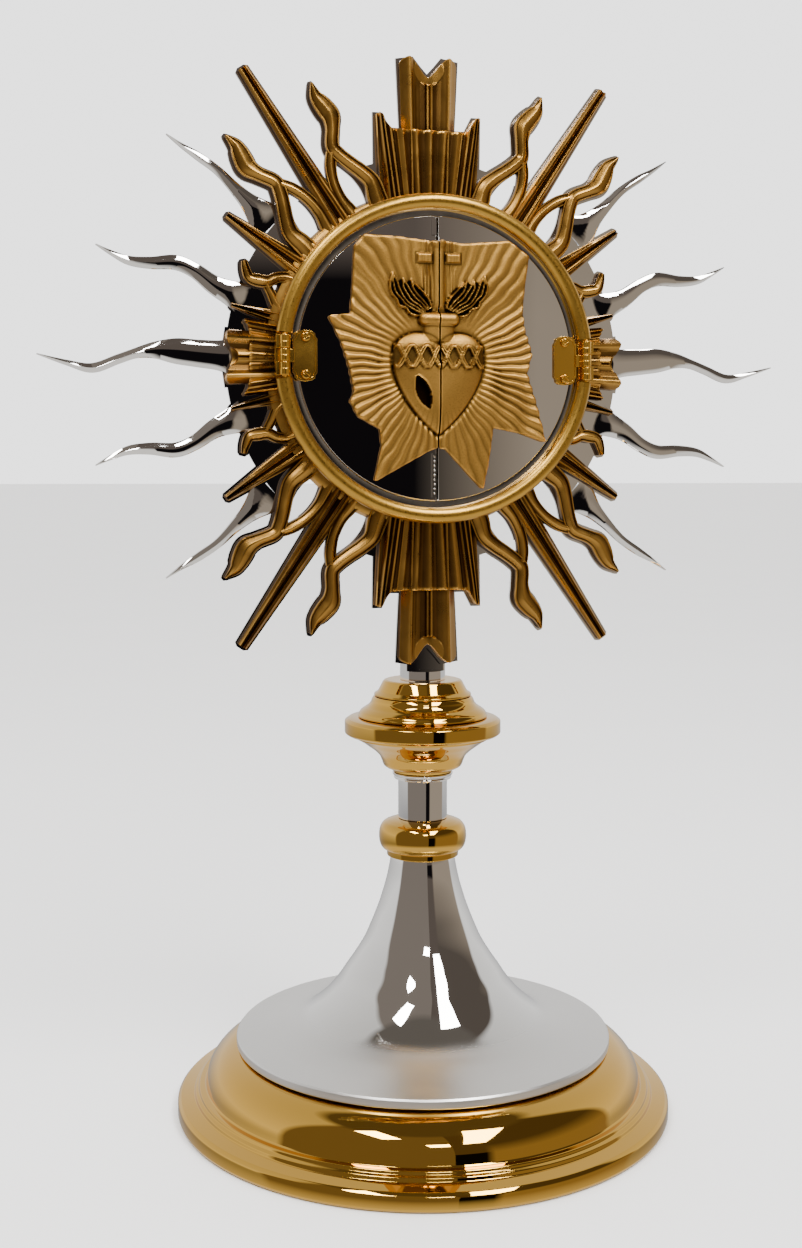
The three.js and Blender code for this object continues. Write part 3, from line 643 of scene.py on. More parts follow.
def cover_profile():
    low = heights("foot_cover")[0]
    outer = curve([(94.7, 38.1), (86, 39.3), (78, 40.6), (69, 43), (62, 46.4), (55.5, 51), (50, 56),
                   (44.5, 62.4), (40, 69), (35, 76.2), (30, 84.5), (25.4, 95), (22, 104),
                   (18.6, 115.5), (16.3, 127)], 6)
    inner = [(max(r - 1.3, 14.9), z - 1.2) for r, z in outer[::-6]]
    return [
        (93.4, low), (95.2, low, 0.3), (95.4, low + 0.5, 0.3), (95.4, low + 3.5, 0.5),
        *[(r, z, 0) for r, z in outer[:-1]], (16.3, 127, 0.2), *[(r, z, 0) for r, z in inner[:-1]],
        (93.4, 36.6, 0),
    ]


def collar_profile():
    low, high = heights("lower_collar")
    bulge = rounded([(18.4, 130), (20.6, 131.2), (22, 133.6), (22.5, 137.4), (22, 141.2), (20.2, 143.9),
                   (17.2, 145.2)], 6)
    return [(BORE, low), (18.4, low), *bulge, (13.2, high), (BORE, high)]


def knop_profiles():
    """The four spun pieces of the knop, from the stem's ferrule up."""
    low, high = heights("knop_lower_bell")
    cup = rounded([(15.4, 171.4), (18, 172.2), (20, 173.6), (21.1, 176.2), (22.4, 178.9),
                   (25.2, 181.6), (28.4, 183.9),
                 (31.4, 186), (34.6, 187.8)], 5)
    lower = [(BORE, low), (15.2, low), *cup, (35, high), (BORE, high)]
    low, high = heights("knop_flange")
    flange = [(BORE, low), (38.8, low, 0.8), (40.2, low + 1, 0.8), (40.2, high - 1.7, 1),
              (38.4, high - 0.5, 0.6), (36.4, high), (BORE, high)]
    low, high = heights("knop_upper_bell")
    slope = rounded([(33, 200), (32.2, 201.4), (30.4, 202.8), (28.4, 204.1), (26.9, 205.8),
                     (26.2, 207.6)], 5)
    upper = [(BORE, low), (33.4, low, 0.6), (33.4, 199.6, 0.5), *slope, (25.2, high),
             (BORE, high)]
    low, high = heights("knop_cap")
    cap = [(BORE, low), (24.9, low), (25.1, low + 1, 0.6), (23.6, low + 2, 0.6), (22.9, low + 2.6, 0.5),
           (20.6, high - 1.2, 0.3), (20.0, high - 0.4, 0.5), (18.8, high, 0.4), (BORE, high)]
    return {"knop_lower_bell": lower, "knop_flange": flange, "knop_upper_bell": upper, "knop_cap": cap}


def tube_profile(node, wall=1.5):
    low, high = heights(node)
    outer = radius_of(node)
    return [(outer - wall, low), (outer, low, 0.15), (outer, high, 0.15), (outer - wall, high)]


def ferrule_profile():
    low, high = heights("stem_ferrule")
    return [(BORE, low), (14.3, low, 0.4), (15, low + 0.7, 0.4), (14.3, low + 1.6, 0.4),
            (15.4, high - 1.2, 0.5), (15.6, high - 0.4, 0.3), (15.1, high, 0.2), (BORE, high)]


def stem_section(radius, flat):
    """A round section with its front milled flat, seen from above."""
    section = circle(radius, 96)
    section[:, 1] = np.maximum(section[:, 1], -flat)
    return section


class MONSTRANCE_OT_foot(bpy.types.Operator):
    """Spins the gilt foot, the flared silver cover and the felt pad"""
    bl_idname = "monstrance.foot"
    bl_label = "Foot"

    def execute(self, context):
        piece("stepped_foot", [spun(foot_profile())], "polished_gold", ["foot_base"])
        points, faces = spun(cover_profile())
        satin = ease(np.hypot(*np.array(points, float)[:, :2].T), 54, 64)
        piece("flared_cover", [(points, faces, satin)], "polished_silver", ["foot_cover"])
        pad = radius_of("base_pad")
        high = heights("base_pad")[1]
        piece("felt_pad", [spun([(0, 0), (pad, 0, 0.5), (pad, high, 0.7), (0, high)])], "felt_pad",
              ["base_pad"])
        return {"FINISHED"}


class MONSTRANCE_OT_stem(bpy.types.Operator):
    """Spins the collar, the stem tubes, the ferrule and the knop"""
    bl_idname = "monstrance.stem"
    bl_label = "Stem and knop"

    def execute(self, context):
        piece("stem_collar", [spun(collar_profile())], "polished_gold", ["lower_collar"])
        piece("stem_lower", [spun(tube_profile("lower_stem_tube"))], "polished_silver",
              ["lower_stem_tube"])
        piece("stem_seat", [spun(ferrule_profile())], "polished_silver", ["stem_ferrule"])
        for node, profile in knop_profiles().items():
            piece(node + "_spun", [spun(profile)], "polished_gold", [node])
        self.upper_stem()
        for node in ("stem_plug", "tie_rod", "tie_rod_washer", "tie_rod_nut", "door_magnet"):
            frame["nodes"][node].data.materials.clear()
            frame["nodes"][node].data.materials.append(finish_of("steel"))
        return {"FINISHED"}

    def upper_stem(self):
        low, high = heights("upper_stem_tube")
        radius = radius_of("upper_stem_tube")
        flat = -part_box("stem_top_cap")[0].y / MM
        milled = heights("back_plate")[0] - 3
        lower = prism(circle(radius, 96), low, milled)
        upper = prism(stem_section(radius, flat), milled, high)
        piece("stem_upper", [lower, upper], "polished_silver", ["upper_stem_tube"])
        cap = heights("stem_top_cap")
        rings = [(radius, cap[0]), (radius, cap[0] + 1), (radius - 1, cap[0] + 2.2),
                 (radius - 4, cap[1] - 0.5), (0.6, cap[1])]
        points = [(x, y, z) for r, z in rings for x, y in stem_section(r, flat)]
        count = len(points) // len(rings)
        faces = [tuple(range(count))[::-1], tuple(range(len(points) - count, len(points)))]
        for base in range(0, len(points) - count, count):
            following = base + count
            for i in range(count):
                j = (i + 1) % count
                faces.append((base + i, base + j, following + j, following + i))
        piece("stem_cap", [(points, faces)], "polished_silver", ["stem_top_cap"])


# ---- the sunburst and the silver plate ----------------------------------------------------------
STRAIGHT_RAYS = (
    (56.3, ((76, 0, 6.0), (172, 0, 2.4)), 14.6, 12.0),
    (34.1, ((76, 0, 6.4), (124.5, 0, 1.5)), 14.2, 12.0),
    (14.2, ((76, 0, 3.8), (104, 0, 1.0)), 13.6, 12.0),
)
LARGE_FLAME = {
    "stem": ((78, 7.4, 5.6), (86, 7.7, 5.2), (94, 8.3, 4.4), (100.5, 5.4, 3.9), (107, 1.2, 3.7),
             (113, -2.2, 3.6), (118, -3.5, 3.6), (126, 0, 3.6), (132, 1.7, 4.9), (137, 0.5, 4.8),
             (141, -0.8, 4.1), (144.5, -1.5, 2.9), (150.6, -0.9, 0.5)),
    "root": ((78, -6.8, 4.6), (84, -8.2, 4.2), (92, -10.1, 3.3), (101, -10.1, 2.9), (109, -8.2, 3.0),
             (115, -5.2, 2.8)),
    "opening": ((82, 0, 1.2), (86, -0.6, 3.2), (92, -1.8, 4.5), (98, -3.0, 4.2), (103, -4.0, 2.9),
                (109, -5.0, 0.4)),
}
SMALL_FLAME = {
    "stem": ((77, 6.2, 2.9), (83, 5.8, 2.8), (87.5, 3.6, 2.8), (91, -0.2, 3.0), (95.6, -1.9, 3.3),
             (100, -2.5, 2.7), (103.4, 0.4, 2.2), (106, 3.8, 1.4)),
    "root": ((77, -10.6, 3.3), (82, -9, 3), (87, -5.0, 2.4), (92, -1, 2.4)),
    "opening": ((78, -2.4, 2.2), (82, -1.6, 2.8), (86, -0.8, 1.6), (88.5, -0.3, 0.4)),
}
FLAMES = ((66.5, 1, LARGE_FLAME), (46.0, -1, LARGE_FLAME), (24.6, 1, SMALL_FLAME))
MIDDLE_SILVER = ((96, 0, 15), (100, 0.4, 10.5), (106, 0.8, 7.6), (117, 1.6, 6.8), (128, 2.6, 6.3),
                 (138, 2.8, 4.2), (147, 1.2, 2.6), (156, -2, 2.4), (168, -6.4, 2.4), (180, -4.1, 1.4),
                 (194.5, 0, 0.3))
UPPER_SILVER = ((92, 28, 9.5), (100, 31.5, 6.6), (109, 35.6, 4.8), (118.5, 42.3, 3.8), (128, 46, 3.7),
                (140, 45.4, 3.0), (150.5, 46.2, 2.3), (158.5, 49.4, 1.3), (166.6, 53.6, 0.3))
TOP_SILVER = ((80, 66, 12), (90, 75.6, 5.6), (98, 83.2, 3.2), (107, 92, 2.3), (117, 98.8, 2.1),
              (125, 103.6, 1.2), (132.6, 108.8, 0.3))


def both_ways(half):
    """A whole section from its right half, which starts on the centre line."""
    return (*[(-p[0], *p[1:]) for p in reversed(half[1:])], *half)


# the third values are patina and painted shade: darkest in the grooves and on the side walls
RAY_SECTION = both_ways(((0, 0.55, 0.9), (0.1, 0.6, 0.8), (0.2, 0.86, 0.2), (0.27, 0.92, 0),
                         (0.34, 0.84, 0.5), (0.42, 0.86, 0.6), (0.52, 1.0, 0), (0.62, 1.0, 0),
                         (0.72, 0.86, 0.45), (0.92, 0.62, 0.6), (1, 0.6, 0.1), (1, 0.4, 0.8)))
# the third values are painted shade in the hollow of each face and on the side walls, none on the rims
FLAME_SECTION = both_ways(((0, 1.0, 0), (0.12, 0.99, 0), (0.4, 0.84, 0.35), (0.7, 0.7, 0.65),
                           (0.8, 0.8, 0), (0.94, 0.8, 0), (1, 0.7, 0.4), (1, 0.45, 0.9)))
SILVER_SECTION = both_ways(((0, 1.0, 0), (0.45, 0.86, 0), (0.9, 0.62, 0), (1, 0.45, 0)))


def ray_shells():
    shells = []
    for degrees, stations, front, tip in STRAIGHT_RAYS:
        grid = turned_by(ridged_stroke(stations, RAY_SECTION, CASTING_BACK, front, tip), degrees)
        shells += [slab(mirrored(grid, *q), CASTING_BACK) for q in QUADRANTS]
    for degrees, flip, form in FLAMES:
        for part, front, tip in (("stem", 14.4, 12.4), ("root", 13.6, 12.6)):
            grid = ridged_stroke(form[part], FLAME_SECTION, CASTING_BACK, front, tip)
            grid = turned_by(grid, degrees, flip)
            shells += [slab(mirrored(grid, *q), CASTING_BACK) for q in QUADRANTS]
    return shells


def column_grid(columns, back, start, rows=26):
    """A fluted front whose columns run straight from the root to the step at the end.

    Each column is (root u, tip u, tip v, height at the root, height at the tip, patina and painted
    shade)."""
    share = np.append(np.linspace(0, 1, rows), 1)
    grid = np.zeros((rows + 1, len(columns), 4))
    for i, (root, tip, end, low, high, dark) in enumerate(columns):
        grid[:, i, 0] = root + (tip - root) * share
        grid[:, i, 1] = start + (end - start) * share
        grid[:, i, 2] = back + low + (high - low) * share
        grid[:, i, 3] = dark
    grid[-2, :, 1] -= 0.5
    grid[-1, :, 2] -= 0.45
    grid[-2:, :, 3] = 0
    return grid


def both_sides(half):
    """Columns for the whole width from those of the right half, listed from the middle outwards."""
    left = [(-column[0], -column[1], *column[2:]) for column in half if column[0] or column[1]]
    return [*reversed(left), *half]


def fluted_columns(ridges, depth, land=0.35, steps=6):
    """Narrow flat ridges with a concave flute between each two, darkened with painted shade."""
    columns = []
    for a, b in zip(ridges, ridges[1:]):
        width = max(b[0] - a[0], 1e-6)
        for i in range(steps + 1):
            t = (land + (width - 2 * land) * i / steps) / width
            # the sag deepens each flute and darkens it with painted shade
            sag = math.sin(math.pi * i / steps)
            middle = [p + (q - p) * t for p, q in zip(a, b)]
            columns.append((*middle[:3], middle[3] - depth * sag, middle[4] - depth * sag,
                            0.9 * sag**0.7))
    first, last = ridges[0], ridges[-1]
    return [(*first, 0.0), *columns, (*last, 0.0)]


def ease(value, low, high):
    t = np.clip((value - low) / (high - low), 0, 1)
    return t * t * (3 - 2 * t)


# across: 0 on the centre line and 1 on the edge; then the end's height, the relief and its patina and
# painted shade
TALL_SHAFT = (
    (0.00, 144.6, 4.5, 0.5), (0.05, 144.9, 5.3, 0.0), (0.10, 145.4, 5.2, 0.1), (0.14, 145.9, 3.6, 0.9),
    (0.30, 149.0, 3.0, 0.8), (0.45, 151.8, 3.5, 0.6), (0.60, 153.7, 4.9, 0.3), (0.66, 154.0, 6.0, 0.0),
    (0.72, 154.0, 6.1, 0.0), (0.78, 153.9, 5.0, 0.3), (0.94, 152.7, 2.6, 0.5), (1.00, 151.2, 1.6, 0.5),
)
SIDE_SHAFT = (
    (0.00, 100.4, 5.4, 0.6), (0.07, 100.6, 6.4, 0.0), (0.14, 100.8, 6.2, 0.2), (0.30, 101.6, 4.8, 0.9),
    (0.50, 103.0, 5.4, 0.7), (0.66, 103.8, 7.4, 0.1), (0.78, 104.0, 7.6, 0.0), (0.90, 103.6, 5.4, 0.5),
    (1.00, 102.2, 3.4, 0.6),
)


def fishtail(form, root_half, tip_half, base, scoop):
    """A fluted shaft with a notched end, scooped out in a crescent round the notch."""
    half = np.array(form)
    across = np.linspace(-1, 1, 81)
    side = np.abs(across)
    end, relief, dark = (np.interp(side, half[:, 0], half[:, k]) for k in (1, 2, 3))
    share = np.concatenate([np.linspace(0, 0.78, 10), np.linspace(0.8, 1, 34)])[:, None]
    grid = np.zeros((len(share), len(across), 4))
    grid[..., 1] = base + (end - base) * share
    grid[..., 0] = across * (root_half + (tip_half - root_half) * share)
    notch = half[0, 1]
    reach = np.hypot(grid[..., 0], grid[..., 1] - notch - scoop * 0.45)
    inside_scoop = 1 - ease(reach, scoop * 0.93, scoop)
    bowl = 2.4 + 3.6 * (side / 0.7)**2 * np.ones_like(share)
    bowl = np.minimum(bowl, relief.max() - 0.2)
    bowl = np.where(side > 0.72, relief, bowl)
    grid[..., 2] = CASTING_BACK + relief + (bowl - relief) * inside_scoop
    # the facets' patina and painted shade, cleared inside the scoop
    grid[..., 3] = dark * (1 - inside_scoop)
    grid[-1, :, 2] -= 0.5
    return grid


def tall_arm():
    """The upright arm: a fishtail shaft that rises out of a fluted wedge with side spikes."""
    wedge = fluted_columns([(0, 0, 116.8, 6.4, 7.4), (5.4, 7.6, 116.8, 6.4, 7.4),
                            (10.3, 15.2, 116.8, 6.2, 7.0)], 1.9)
    spikes = fluted_columns([(11.6, 17.0, 116.9, 5.4, 5.6), (14.2, 20.8, 117.4, 6.0, 6.2),
                             (16.6, 24.6, 124.2, 6.2, 6.0), (19.4, 26.0, 124.9, 6.0, 5.8),
                             (24.4, 27.4, 124.3, 3.2, 3.4)], 1.2)
    return [fishtail(TALL_SHAFT, 12.6, 15.1, 74.0, 8.0),
            column_grid(both_sides([*wedge, *spikes]), CASTING_BACK, 70.0)]


def side_arm():
    """The short arm beside each hinge, cast thicker, drawn upright."""
    wedge = fluted_columns([(0, 0, 92.6, 7.0, 7.6), (4.4, 5.4, 92.6, 7.0, 7.6),
                            (8.8, 11, 92.6, 6.6, 7.4)], 1.7)
    spikes = fluted_columns([(9.8, 12.6, 92.6, 5.4, 5.6), (12.2, 15.6, 93.2, 6.2, 6.4),
                             (14.8, 18.0, 94.8, 6.0, 6.0), (17.2, 19.1, 94.4, 3.2, 3.4)], 1.0)
    return [fishtail(SIDE_SHAFT, 12.0, 13.5, 74.0, 4.6),
            column_grid(both_sides([*wedge, *spikes]), CASTING_BACK, 74.0, 12)]


# the right halves of the arms' edges, seen from above
TALL_EDGE = ((0, 144.6), (4.6, 149.6), (8, 153.8), (15.1, 152.6), (14.2, 133), (13.4, 117), (20.8, 117),
             (24.6, 124.4), (27.3, 124.4), (27, 100), (24.6, 74))
SIDE_EDGE = ((0, 100.4), (7, 103.6), (13.6, 102.6), (12.8, 92.6), (17.5, 94.6), (19.2, 94.2), (17.5, 74))


def arm_outline(half, grow):
    """An arm's whole edge, for the silver border behind it."""
    return grown([*half, *[(-x, y) for x, y in reversed(half[1:])]], grow)


def grown(outline, distance):
    """Every corner of an outline pushed outwards, with long mitres held short."""
    p = np.array(outline, float)
    if np.sum(p[:, 0] * np.roll(p[:, 1], -1) - np.roll(p[:, 0], -1) * p[:, 1]) < 0:
        p = p[::-1]
    before = p - np.roll(p, 1, axis=0)
    after = np.roll(p, -1, axis=0) - p
    normals = [np.column_stack([edge[:, 1], -edge[:, 0]]) / np.linalg.norm(edge, axis=1)[:, None]
               for edge in (before, after)]
    mitre = normals[0] + normals[1]
    mitre /= np.maximum(np.linalg.norm(mitre, axis=1), 1e-9)[:, None]
    stretch = 1 / np.maximum(np.abs(np.sum(mitre * normals[1], axis=1)), 0.6)
    return p + mitre * (distance * stretch)[:, None]


def cells_over(points, loops, merge, outlines, holes=()):
    """The flat points and the triangles that lie over the outlines and clear of the holes."""
    flat, _, cells, *_ = delaunay_2d_cdt(points, [], loops, 0, merge, True)
    flat = np.array([tuple(p) for p in flat])
    middles = np.array([flat[list(cell)].mean(0) for cell in cells])
    covered = np.any([inside(middles, polygon) for polygon in outlines], axis=0)
    for polygon in holes:
        covered &= ~inside(middles, polygon)
    return flat, [tuple(cell) for cell, keep in zip(cells, covered) if keep]


def closed_cells(cells, n):
    """The front triangles, the rear ones n points on, and the walls round their free edges."""
    edges = {(a, b) for cell in cells for a, b in zip(cell, cell[1:] + cell[:1])}
    sides = [(b, a, n + a, n + b) for a, b in edges if (b, a) not in edges]
    return [*cells, *[tuple(n + i for i in reversed(cell)) for cell in cells], *sides]


def sheet_union(outlines, holes, back, front):
    """A flat sheet covering every outline, less every hole."""
    points, loops = [], []
    for polygon in [*outlines, *holes]:
        loops.append(list(range(len(points), len(points) + len(polygon))))
        points.extend([tuple(map(float, p)) for p in polygon])
    flat, cells = cells_over(points, loops, 1e-4, outlines, holes)
    shell = [(x, y, depth) for depth in (front, back) for x, y in flat]
    return shell, closed_cells(cells, len(flat))


def plate_sheet():
    grow = sizes().plate_border / MM
    outlines = [circle(103.5, 180)]
    for degrees, stations, _, _ in STRAIGHT_RAYS:
        outline = turned_by(stroke_outline(stations, grow), degrees)
        outlines += [mirrored(outline, *q) for q in QUADRANTS]
    holes = [circle(60, 96)]
    for degrees, flip, form in FLAMES:
        outline = turned_by(stroke_outline(form["stem"], grow), degrees, flip)
        outlines += [mirrored(outline, *q) for q in QUADRANTS]
        opening = turned_by(stroke_outline(form["opening"], -0.15), degrees, flip)
        holes += [mirrored(opening, *q) for q in QUADRANTS]
    outlines += [mirrored(arm_outline(TALL_EDGE, grow), 1, s) for s in (1, -1)]
    outlines += [turned_by(arm_outline(SIDE_EDGE, grow), d) for d in (-90, 90)]
    return sheet_union(outlines, holes, PLATE_BACK, PLATE_FRONT)


def silver_flames():
    shells = []
    back, front = PLATE_BACK + 0.15, PLATE_FRONT + 1.3
    for stations, places in ((MIDDLE_SILVER, ((1, 1), (-1, 1))), (UPPER_SILVER, QUADRANTS),
                             (TOP_SILVER, QUADRANTS)):
        grid = ridged_stroke(stations, SILVER_SECTION, back, front, front - 0.6, 8)
        rise = ease(np.linspace(0, 1, len(grid)), 0, 0.16)[:, None]
        flat = PLATE_FRONT - 0.02
        grid[..., 2] = flat + (grid[..., 2] - flat) * rise
        shells += [slab(mirrored(grid, *q), back) for q in places]
    return shells


class MONSTRANCE_OT_sunburst(bpy.types.Operator):
    """Casts the gilt rays, flames and arms, and cuts the silver plate behind them"""
    bl_idname = "monstrance.sunburst"
    bl_label = "Sunburst"

    def execute(self, context):
        shells = ray_shells()
        for grid in tall_arm():
            shells += [slab(mirrored(grid, 1, s), CASTING_BACK) for s in (1, -1)]
        for grid in side_arm():
            shells += [slab(turned_by(grid, d), CASTING_BACK) for d in (-90, 90)]
        hub = spun([(77.4, CASTING_BACK), (86, CASTING_BACK), (84.6, 12.2), (82, 13.0), (77.4, 13.0)])
        head_piece("gilt_sunburst", [*shells, hub], "antique_gold", ["gilded_sunburst"], sharp=40)
        head_piece("silver_plate", [plate_sheet(), *silver_flames()], "plate_silver",
              ["back_plate"], sharp=25)
        return {"FINISHED"}


# ---- the case -----------------------------------------------------------------------------------
def swept(section, start, end, steps):
    """A closed section in radius and depth carried round the head from one angle to another."""
    angles = np.radians(np.linspace(start, end, steps))
    n = len(section)
    points = [(r * math.cos(a), r * math.sin(a), w) for a in angles for r, w in section]
    faces = [tuple(range(n)), tuple(range((steps - 1) * n, steps * n))[::-1]]
    for s in range(steps - 1):
        for i in range(n):
            j = (i + 1) % n
            faces.append((s * n + i, (s + 1) * n + i, (s + 1) * n + j, s * n + j))
    return points, faces


SEAT_RADIUS = 74.8  # inside the bezel's seat and the drum
BEZEL_RADIUS, BEZEL_DEPTH = 78.5, 27.5  # the middle of the bezel's round section
HINGE_GAP = 11.1  # half the bezel's gap at each hinge


def ring_shells():
    """The bezel's round section above and below the hinges, and its flat seat behind them."""
    section = RING_FRONT - BEZEL_DEPTH
    cut = math.degrees(math.asin((BEZEL_DEPTH - RING_BACK) / section))
    round_part = arc(section, -cut, 180 + cut, 26, (BEZEL_RADIUS, BEZEL_DEPTH))
    notch = math.degrees(math.asin(HINGE_GAP / BEZEL_RADIUS))
    shells = [swept(round_part, notch, 180 - notch, 90), swept(round_part, 180 + notch, 360 - notch, 90)]
    seat = rectangle(SEAT_RADIUS, 82.2, RING_BACK, RING_BACK + 1.1)
    for middle in (0, 180):
        shells.append(swept(seat, middle - notch - 0.5, middle + notch + 0.5, 13))
    return shells


def drum_profile():
    floor = DRUM_BACK + 1.5
    return [(61.5, DRUM_BACK), (77, DRUM_BACK, 0.3), (77, 22.6, 0.3), (80.6, 22.6, 0.3), (81, 23, 0.3),
            (81, DRUM_FRONT, 0.4), (70.5, DRUM_FRONT, 0.5), (70.5, 23.6, 0.5), (SEAT_RADIUS, 23.6),
            (SEAT_RADIUS, floor), (61.5, floor)]


def rear_cover_profile():
    back = depths("rear_cover")[0]
    dish = rounded([(0.0, back), (20, back + 0.25), (40, back + 1), (52, back + 2.3),
                    (57.4, back + 4)], 6)
    return [*dish, (59, 4.6, 0.8), (67.4, 4.6, 0.4), (67.5, 6.0, 0.3), (58.4, 6.0), (54, 4.4),
            (40, 1.6), (0, 0.6)]


def half_round(radius, gap, up, steps=20):
    """One side of a slotted screw head, seen from the front."""
    low = math.degrees(math.asin(gap / radius))
    return mirrored(arc(radius, low, 180 - low, steps), 1, up)


def slotted_head(radius, seat, height, gap=0.35):
    """A screw head from a base disc and the two lands beside its slot."""
    step = math.copysign(1, height)
    middle = seat + 0.45 * height
    low, high = middle - 0.1 * step, seat + height
    lands = [prism(half_round(radius - 0.25, gap, up), low, high) for up in (1, -1)]
    return [prism(circle(radius, 32), seat, middle), *lands]


def shank(radius, start, end):
    return prism(circle(radius, 24), start, end)


def centre_of(node):
    """A node's place in the head: right and up of its centre."""
    low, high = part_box(node)
    return (low.x + high.x) / 2 / MM, (low.z + high.z) / 2 / MM - HEAD


class MONSTRANCE_OT_case(bpy.types.Operator):
    """Spins the drum, the bezel ring and the rear cover, and sets their screws"""
    bl_idname = "monstrance.case"
    bl_label = "Case"

    def execute(self, context):
        head_piece("case_drum", [spun(drum_profile())], "drum_silver", ["drum"])
        head_piece("brushed_bezel", ring_shells(), "satin_gold", ["bezel_ring"])
        head_piece("rear_dish", [spun(rear_cover_profile())], "drum_silver", ["rear_cover"])
        names = [f"cover_screw_{i}" for i in range(1, 5)] + [f"sunburst_screw_{i}" for i in range(1, 5)]
        for node in [*names, "stem_screw_1", "stem_screw_2"]:
            self.rear_screw(node)
        return {"FINISHED"}

    def rear_screw(self, node):
        back, front = depths(node)
        u, v = centre_of(node)
        radius = radius_of(node)
        shells = [*slotted_head(radius, back + 2, -2), shank(1.35, back + 1.9, front)]
        head_piece(node + "_turned", [shifted(s, u, v) for s in shells], "steel", [node], bevel=0.2)


class MONSTRANCE_OT_luna(bpy.types.Operator):
    """Spins the luna's rings, glasses and knob, and cuts its cradle"""
    bl_idname = "monstrance.luna"
    bl_label = "Luna"

    def execute(self, context):
        sight, outer, glass = 42.5, radius_of("luna_front_ring"), radius_of("luna_front_glass")
        back, front = depths("luna_front_ring")
        ring = [(sight, 17.2), (glass + 0.3, 17.2), (glass + 0.3, back), (outer, back, 0.3),
                (outer, front - 0.5, 0.8), (outer - 1.8, front, 0.8), (outer - 3, front - 0.5, 0.3),
                (sight + 1, front, 0.5), (sight, front - 0.3)]
        head_piece("luna_bezel", [spun(ring)], "luna_gold", ["luna_front_ring"])
        back, front = depths("luna_back_ring")
        ring = [(sight, back, 0.4), (outer, back, 0.6), (outer, front, 0.3), (glass + 0.3, front),
                (glass + 0.3, 11.4), (sight, 11.4)]
        head_piece("luna_rear_ring", [spun(ring)], "luna_gold", ["luna_back_ring"])
        for node in ("luna_front_glass", "luna_back_glass"):
            back, front = depths(node)
            disc = [(0, back), (glass, back, 0.2), (glass, front, 0.2), (0, front)]
            head_piece(node + "_disc", [spun(disc, facets=96)], "clear_glass", [node])
        self.cradle(outer)
        self.knob()
        return {"FINISHED"}

    def cradle(self, luna_radius):
        back, front = depths("luna_cradle")
        inner, outer = luna_radius + 0.4, luna_radius + 5
        crescent = np.vstack([arc(outer, 205, 335, 60), arc(inner, 335, 205, 60)])
        foot = rectangle(-9, 9, -73.4, -51)
        shells = [prism(crescent, back, front), prism(foot, back + 0.2, front - 4)]
        head_piece("cradle", shells, "luna_gold", ["luna_cradle"], bevel=0.4)

    def knob(self):
        low, high = heights("luna_knob")
        low_corner, high_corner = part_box("luna_knob")
        depth = (low_corner.y + high_corner.y) / 2 / MM
        shape = [(0, low), (1.6, low), (1.3, low + 2, 0.4), (2.5, low + 4, 1), (2.1, high - 0.8, 0.8),
                 (0.8, high, 0.5), (0, high)]
        piece("luna_grip", [shifted(spun(shape, facets=48), y=depth)], "luna_gold", ["luna_knob"])


# ---- the doors ----------------------------------------------------------------------------------
def bezier(a, b, c, d, steps=16):
    t = np.linspace(0, 1, steps)[:, None]
    a, b, c, d = (np.array(p, float) for p in (a, b, c, d))
    return (1 - t)**3 * a + 3 * t * (1 - t)**2 * b + 3 * t**2 * (1 - t) * c + t**3 * d


SLIT = 0.45  # half the slit between the doors
AUREOLE = {
    1: ((SLIT, 59), (13, 57.5), (37.5, 60), (48, 52.5), (46.5, 43), (44.5, 25), (45.5, 15), (49.5, 3),
        (47, -7), (52, -23), (57, -42), (42, -37), (29, -34.5), (27, -49), (23.5, -66), (4, -45.5),
        (SLIT, -45)),
    -1: ((SLIT, 58), (21, 60), (38, 60.5), (43, 54.5), (44, 32), (45, 21), (56, 20), (49.5, 7),
         (45.5, -5), (43, -17), (45, -22), (41, -29.5), (30, -35.5), (29, -44), (33, -62), (4, -46),
         (SLIT, -45)),
}
HEART = np.vstack([bezier((0, 8), (6, 15), (18, 14), (22.5, 6)),
                   bezier((22.5, 6), (27, -5), (19, -24), (0, -39))[1:]])
CROWN_MIDDLE, CROWN_SWING, CROWN_PITCH = 0.6, 5.4, 15.2


def dome(distance, radius):
    """A round crest: 1 on the line and 0 at the radius."""
    return np.sqrt(np.clip(1 - (distance / radius)**2, 0, 1))


def aureole_height(x, y, side):
    """Wavy ribs that radiate from the heart, with soft folds above it, and painted shade in the valleys
    between the ribs and in the grooves of the folds.
    """
    r = np.hypot(x, y + 4)
    angle = np.arctan2(y + 4, x)
    wave = 0.9 * np.sin(r * 0.16 + 2.1 * np.sin(3 * angle + side)) + 0.35 * np.sin(r * 0.45 + 7 * angle)
    rib = (0.5 + 0.5 * np.cos(sizes().relief_rays * angle + wave))**0.75
    strong = 0.34 + 0.66 * ease(-np.abs(angle + 0.02), -0.8, -0.42)
    height = 1.5 + sizes().rib_height / MM * rib * ease(r, 20, 32) * strong
    height += 0.28 * np.sin(9 * angle + r / 13 + side)
    upright = ease(-x, -9.5, -7.5) * ease(y, 22, 30)
    lines = np.cos(2 * math.pi * x / 1.7)
    # painted shade in the valleys between the ribs and in the grooves of the folds
    painted_valley_shade = (1 - rib)**3 * ease(r, 20, 30) * (0.3 + 0.35 * strong) * (1 - upright)
    return height + upright * 0.4 * lines, painted_valley_shade + upright * 0.3 * np.clip(-lines, 0, 1)


